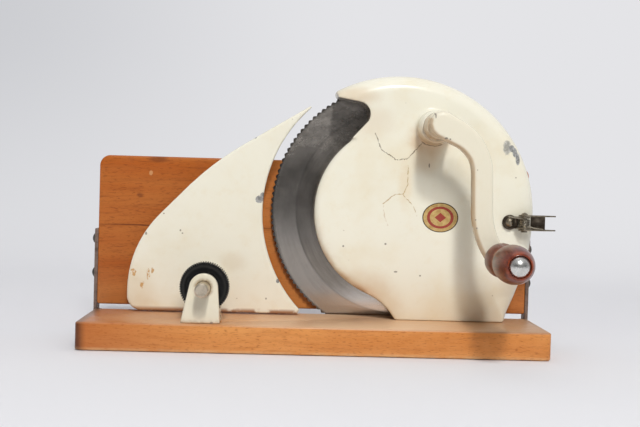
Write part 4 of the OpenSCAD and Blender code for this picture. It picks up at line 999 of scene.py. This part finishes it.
# in bright metal the floor fades out towards the dim front of the room
far = g.put("BsdfDiffuse", Color=tint(60, 59, 57))
dimmed = g.put("MixShader", Fac=g.times(g.band(y, -1000.0, -1900.0), rays["Is Glossy Ray"]))
g.feed(dimmed.inputs[1], blended.outputs[0])
g.feed(dimmed.inputs[2], far.outputs["BSDF"])
g.feed(g.tree.nodes["Material Output"].inputs["Surface"], dimmed.outputs[0])
sweep.data.materials.append(paper)

world = bpy.data.worlds.new("soft_room")
bpy.context.scene.world = world
world.use_nodes = True
g = Graph(world.node_tree)
background = g.tree.nodes["Background"]
x, y, z = g.split(g.put("TexCoord").outputs["Generated"])
dark = g.times(g.band(y, 0.2, -0.7), g.band(z, 0.9, 0.12))
side = g.band(x, -0.9, 0.0, 0.45, 0.0)
dark = g.math("MAXIMUM", dark, g.times(side, g.band(y, 0.6, 0.0)))
# the room itself is only seen past the sweep, where it is as pale as the sweep
seen = g.put("LightPath").outputs["Is Camera Ray"]
dark = g.times(dark, g.minus(1.0, seen))
g.feed(background.inputs["Color"], g.mix(dark, ROOM_PALE, ROOM_DARK))
g.feed(background.inputs["Strength"], g.plus(ROOM_LIGHT, g.times(seen, SEEN_EXTRA)))


def lamp(name, place, aim, size, power, in_gloss=True):
    """A round soft lamp, which bright metal mirrors or not."""
    clear_choice()
    bpy.ops.object.light_add(type="AREA", location=place)
    light = bpy.context.view_layer.objects.active
    light.name = name
    light.data.shape = "DISK"
    light.data.size = size
    light.data.energy = power
    light.visible_glossy = in_gloss
    light.rotation_euler = (Vector(aim) - Vector(place)).to_track_quat("-Z", "Y").to_euler()


lamp("key", (0.36, -3.2, 3.05), (0.05, 0.0, 0.1), 0.45, 83.0)
lamp("fill", (0.24, -1.8, 1.22), (0.0, 0.0, 0.1), 0.5, 12.4, False)
lamp("top", (-0.1, 0.2, 1.7), (0.0, 0.0, 0.1), 1.4, 2.2)

camera_data = bpy.data.cameras.new("photo_view")
camera = bpy.data.objects.new("photo_view", camera_data)
bpy.context.scene.collection.objects.link(camera)
camera_data.sensor_width = SENSOR
camera_data.lens = FOCAL_PIXELS / VIEW_PIXELS * SENSOR
camera_data.clip_start = 0.01
turn = Matrix.Rotation(YAW, 3, "Z") @ Matrix.Rotation(PITCH, 3, "X") @ Matrix.Rotation(ROLL, 3, "Y")
right, ahead, up = (turn.col[i] for i in range(3))
stand = Matrix((right, up, -ahead)).transposed().to_4x4()
stand.translation = Vector(EYE) * MM
camera.matrix_world = stand
bpy.context.scene.camera = camera
bpy.context.scene.view_settings.view_transform = "Standard"
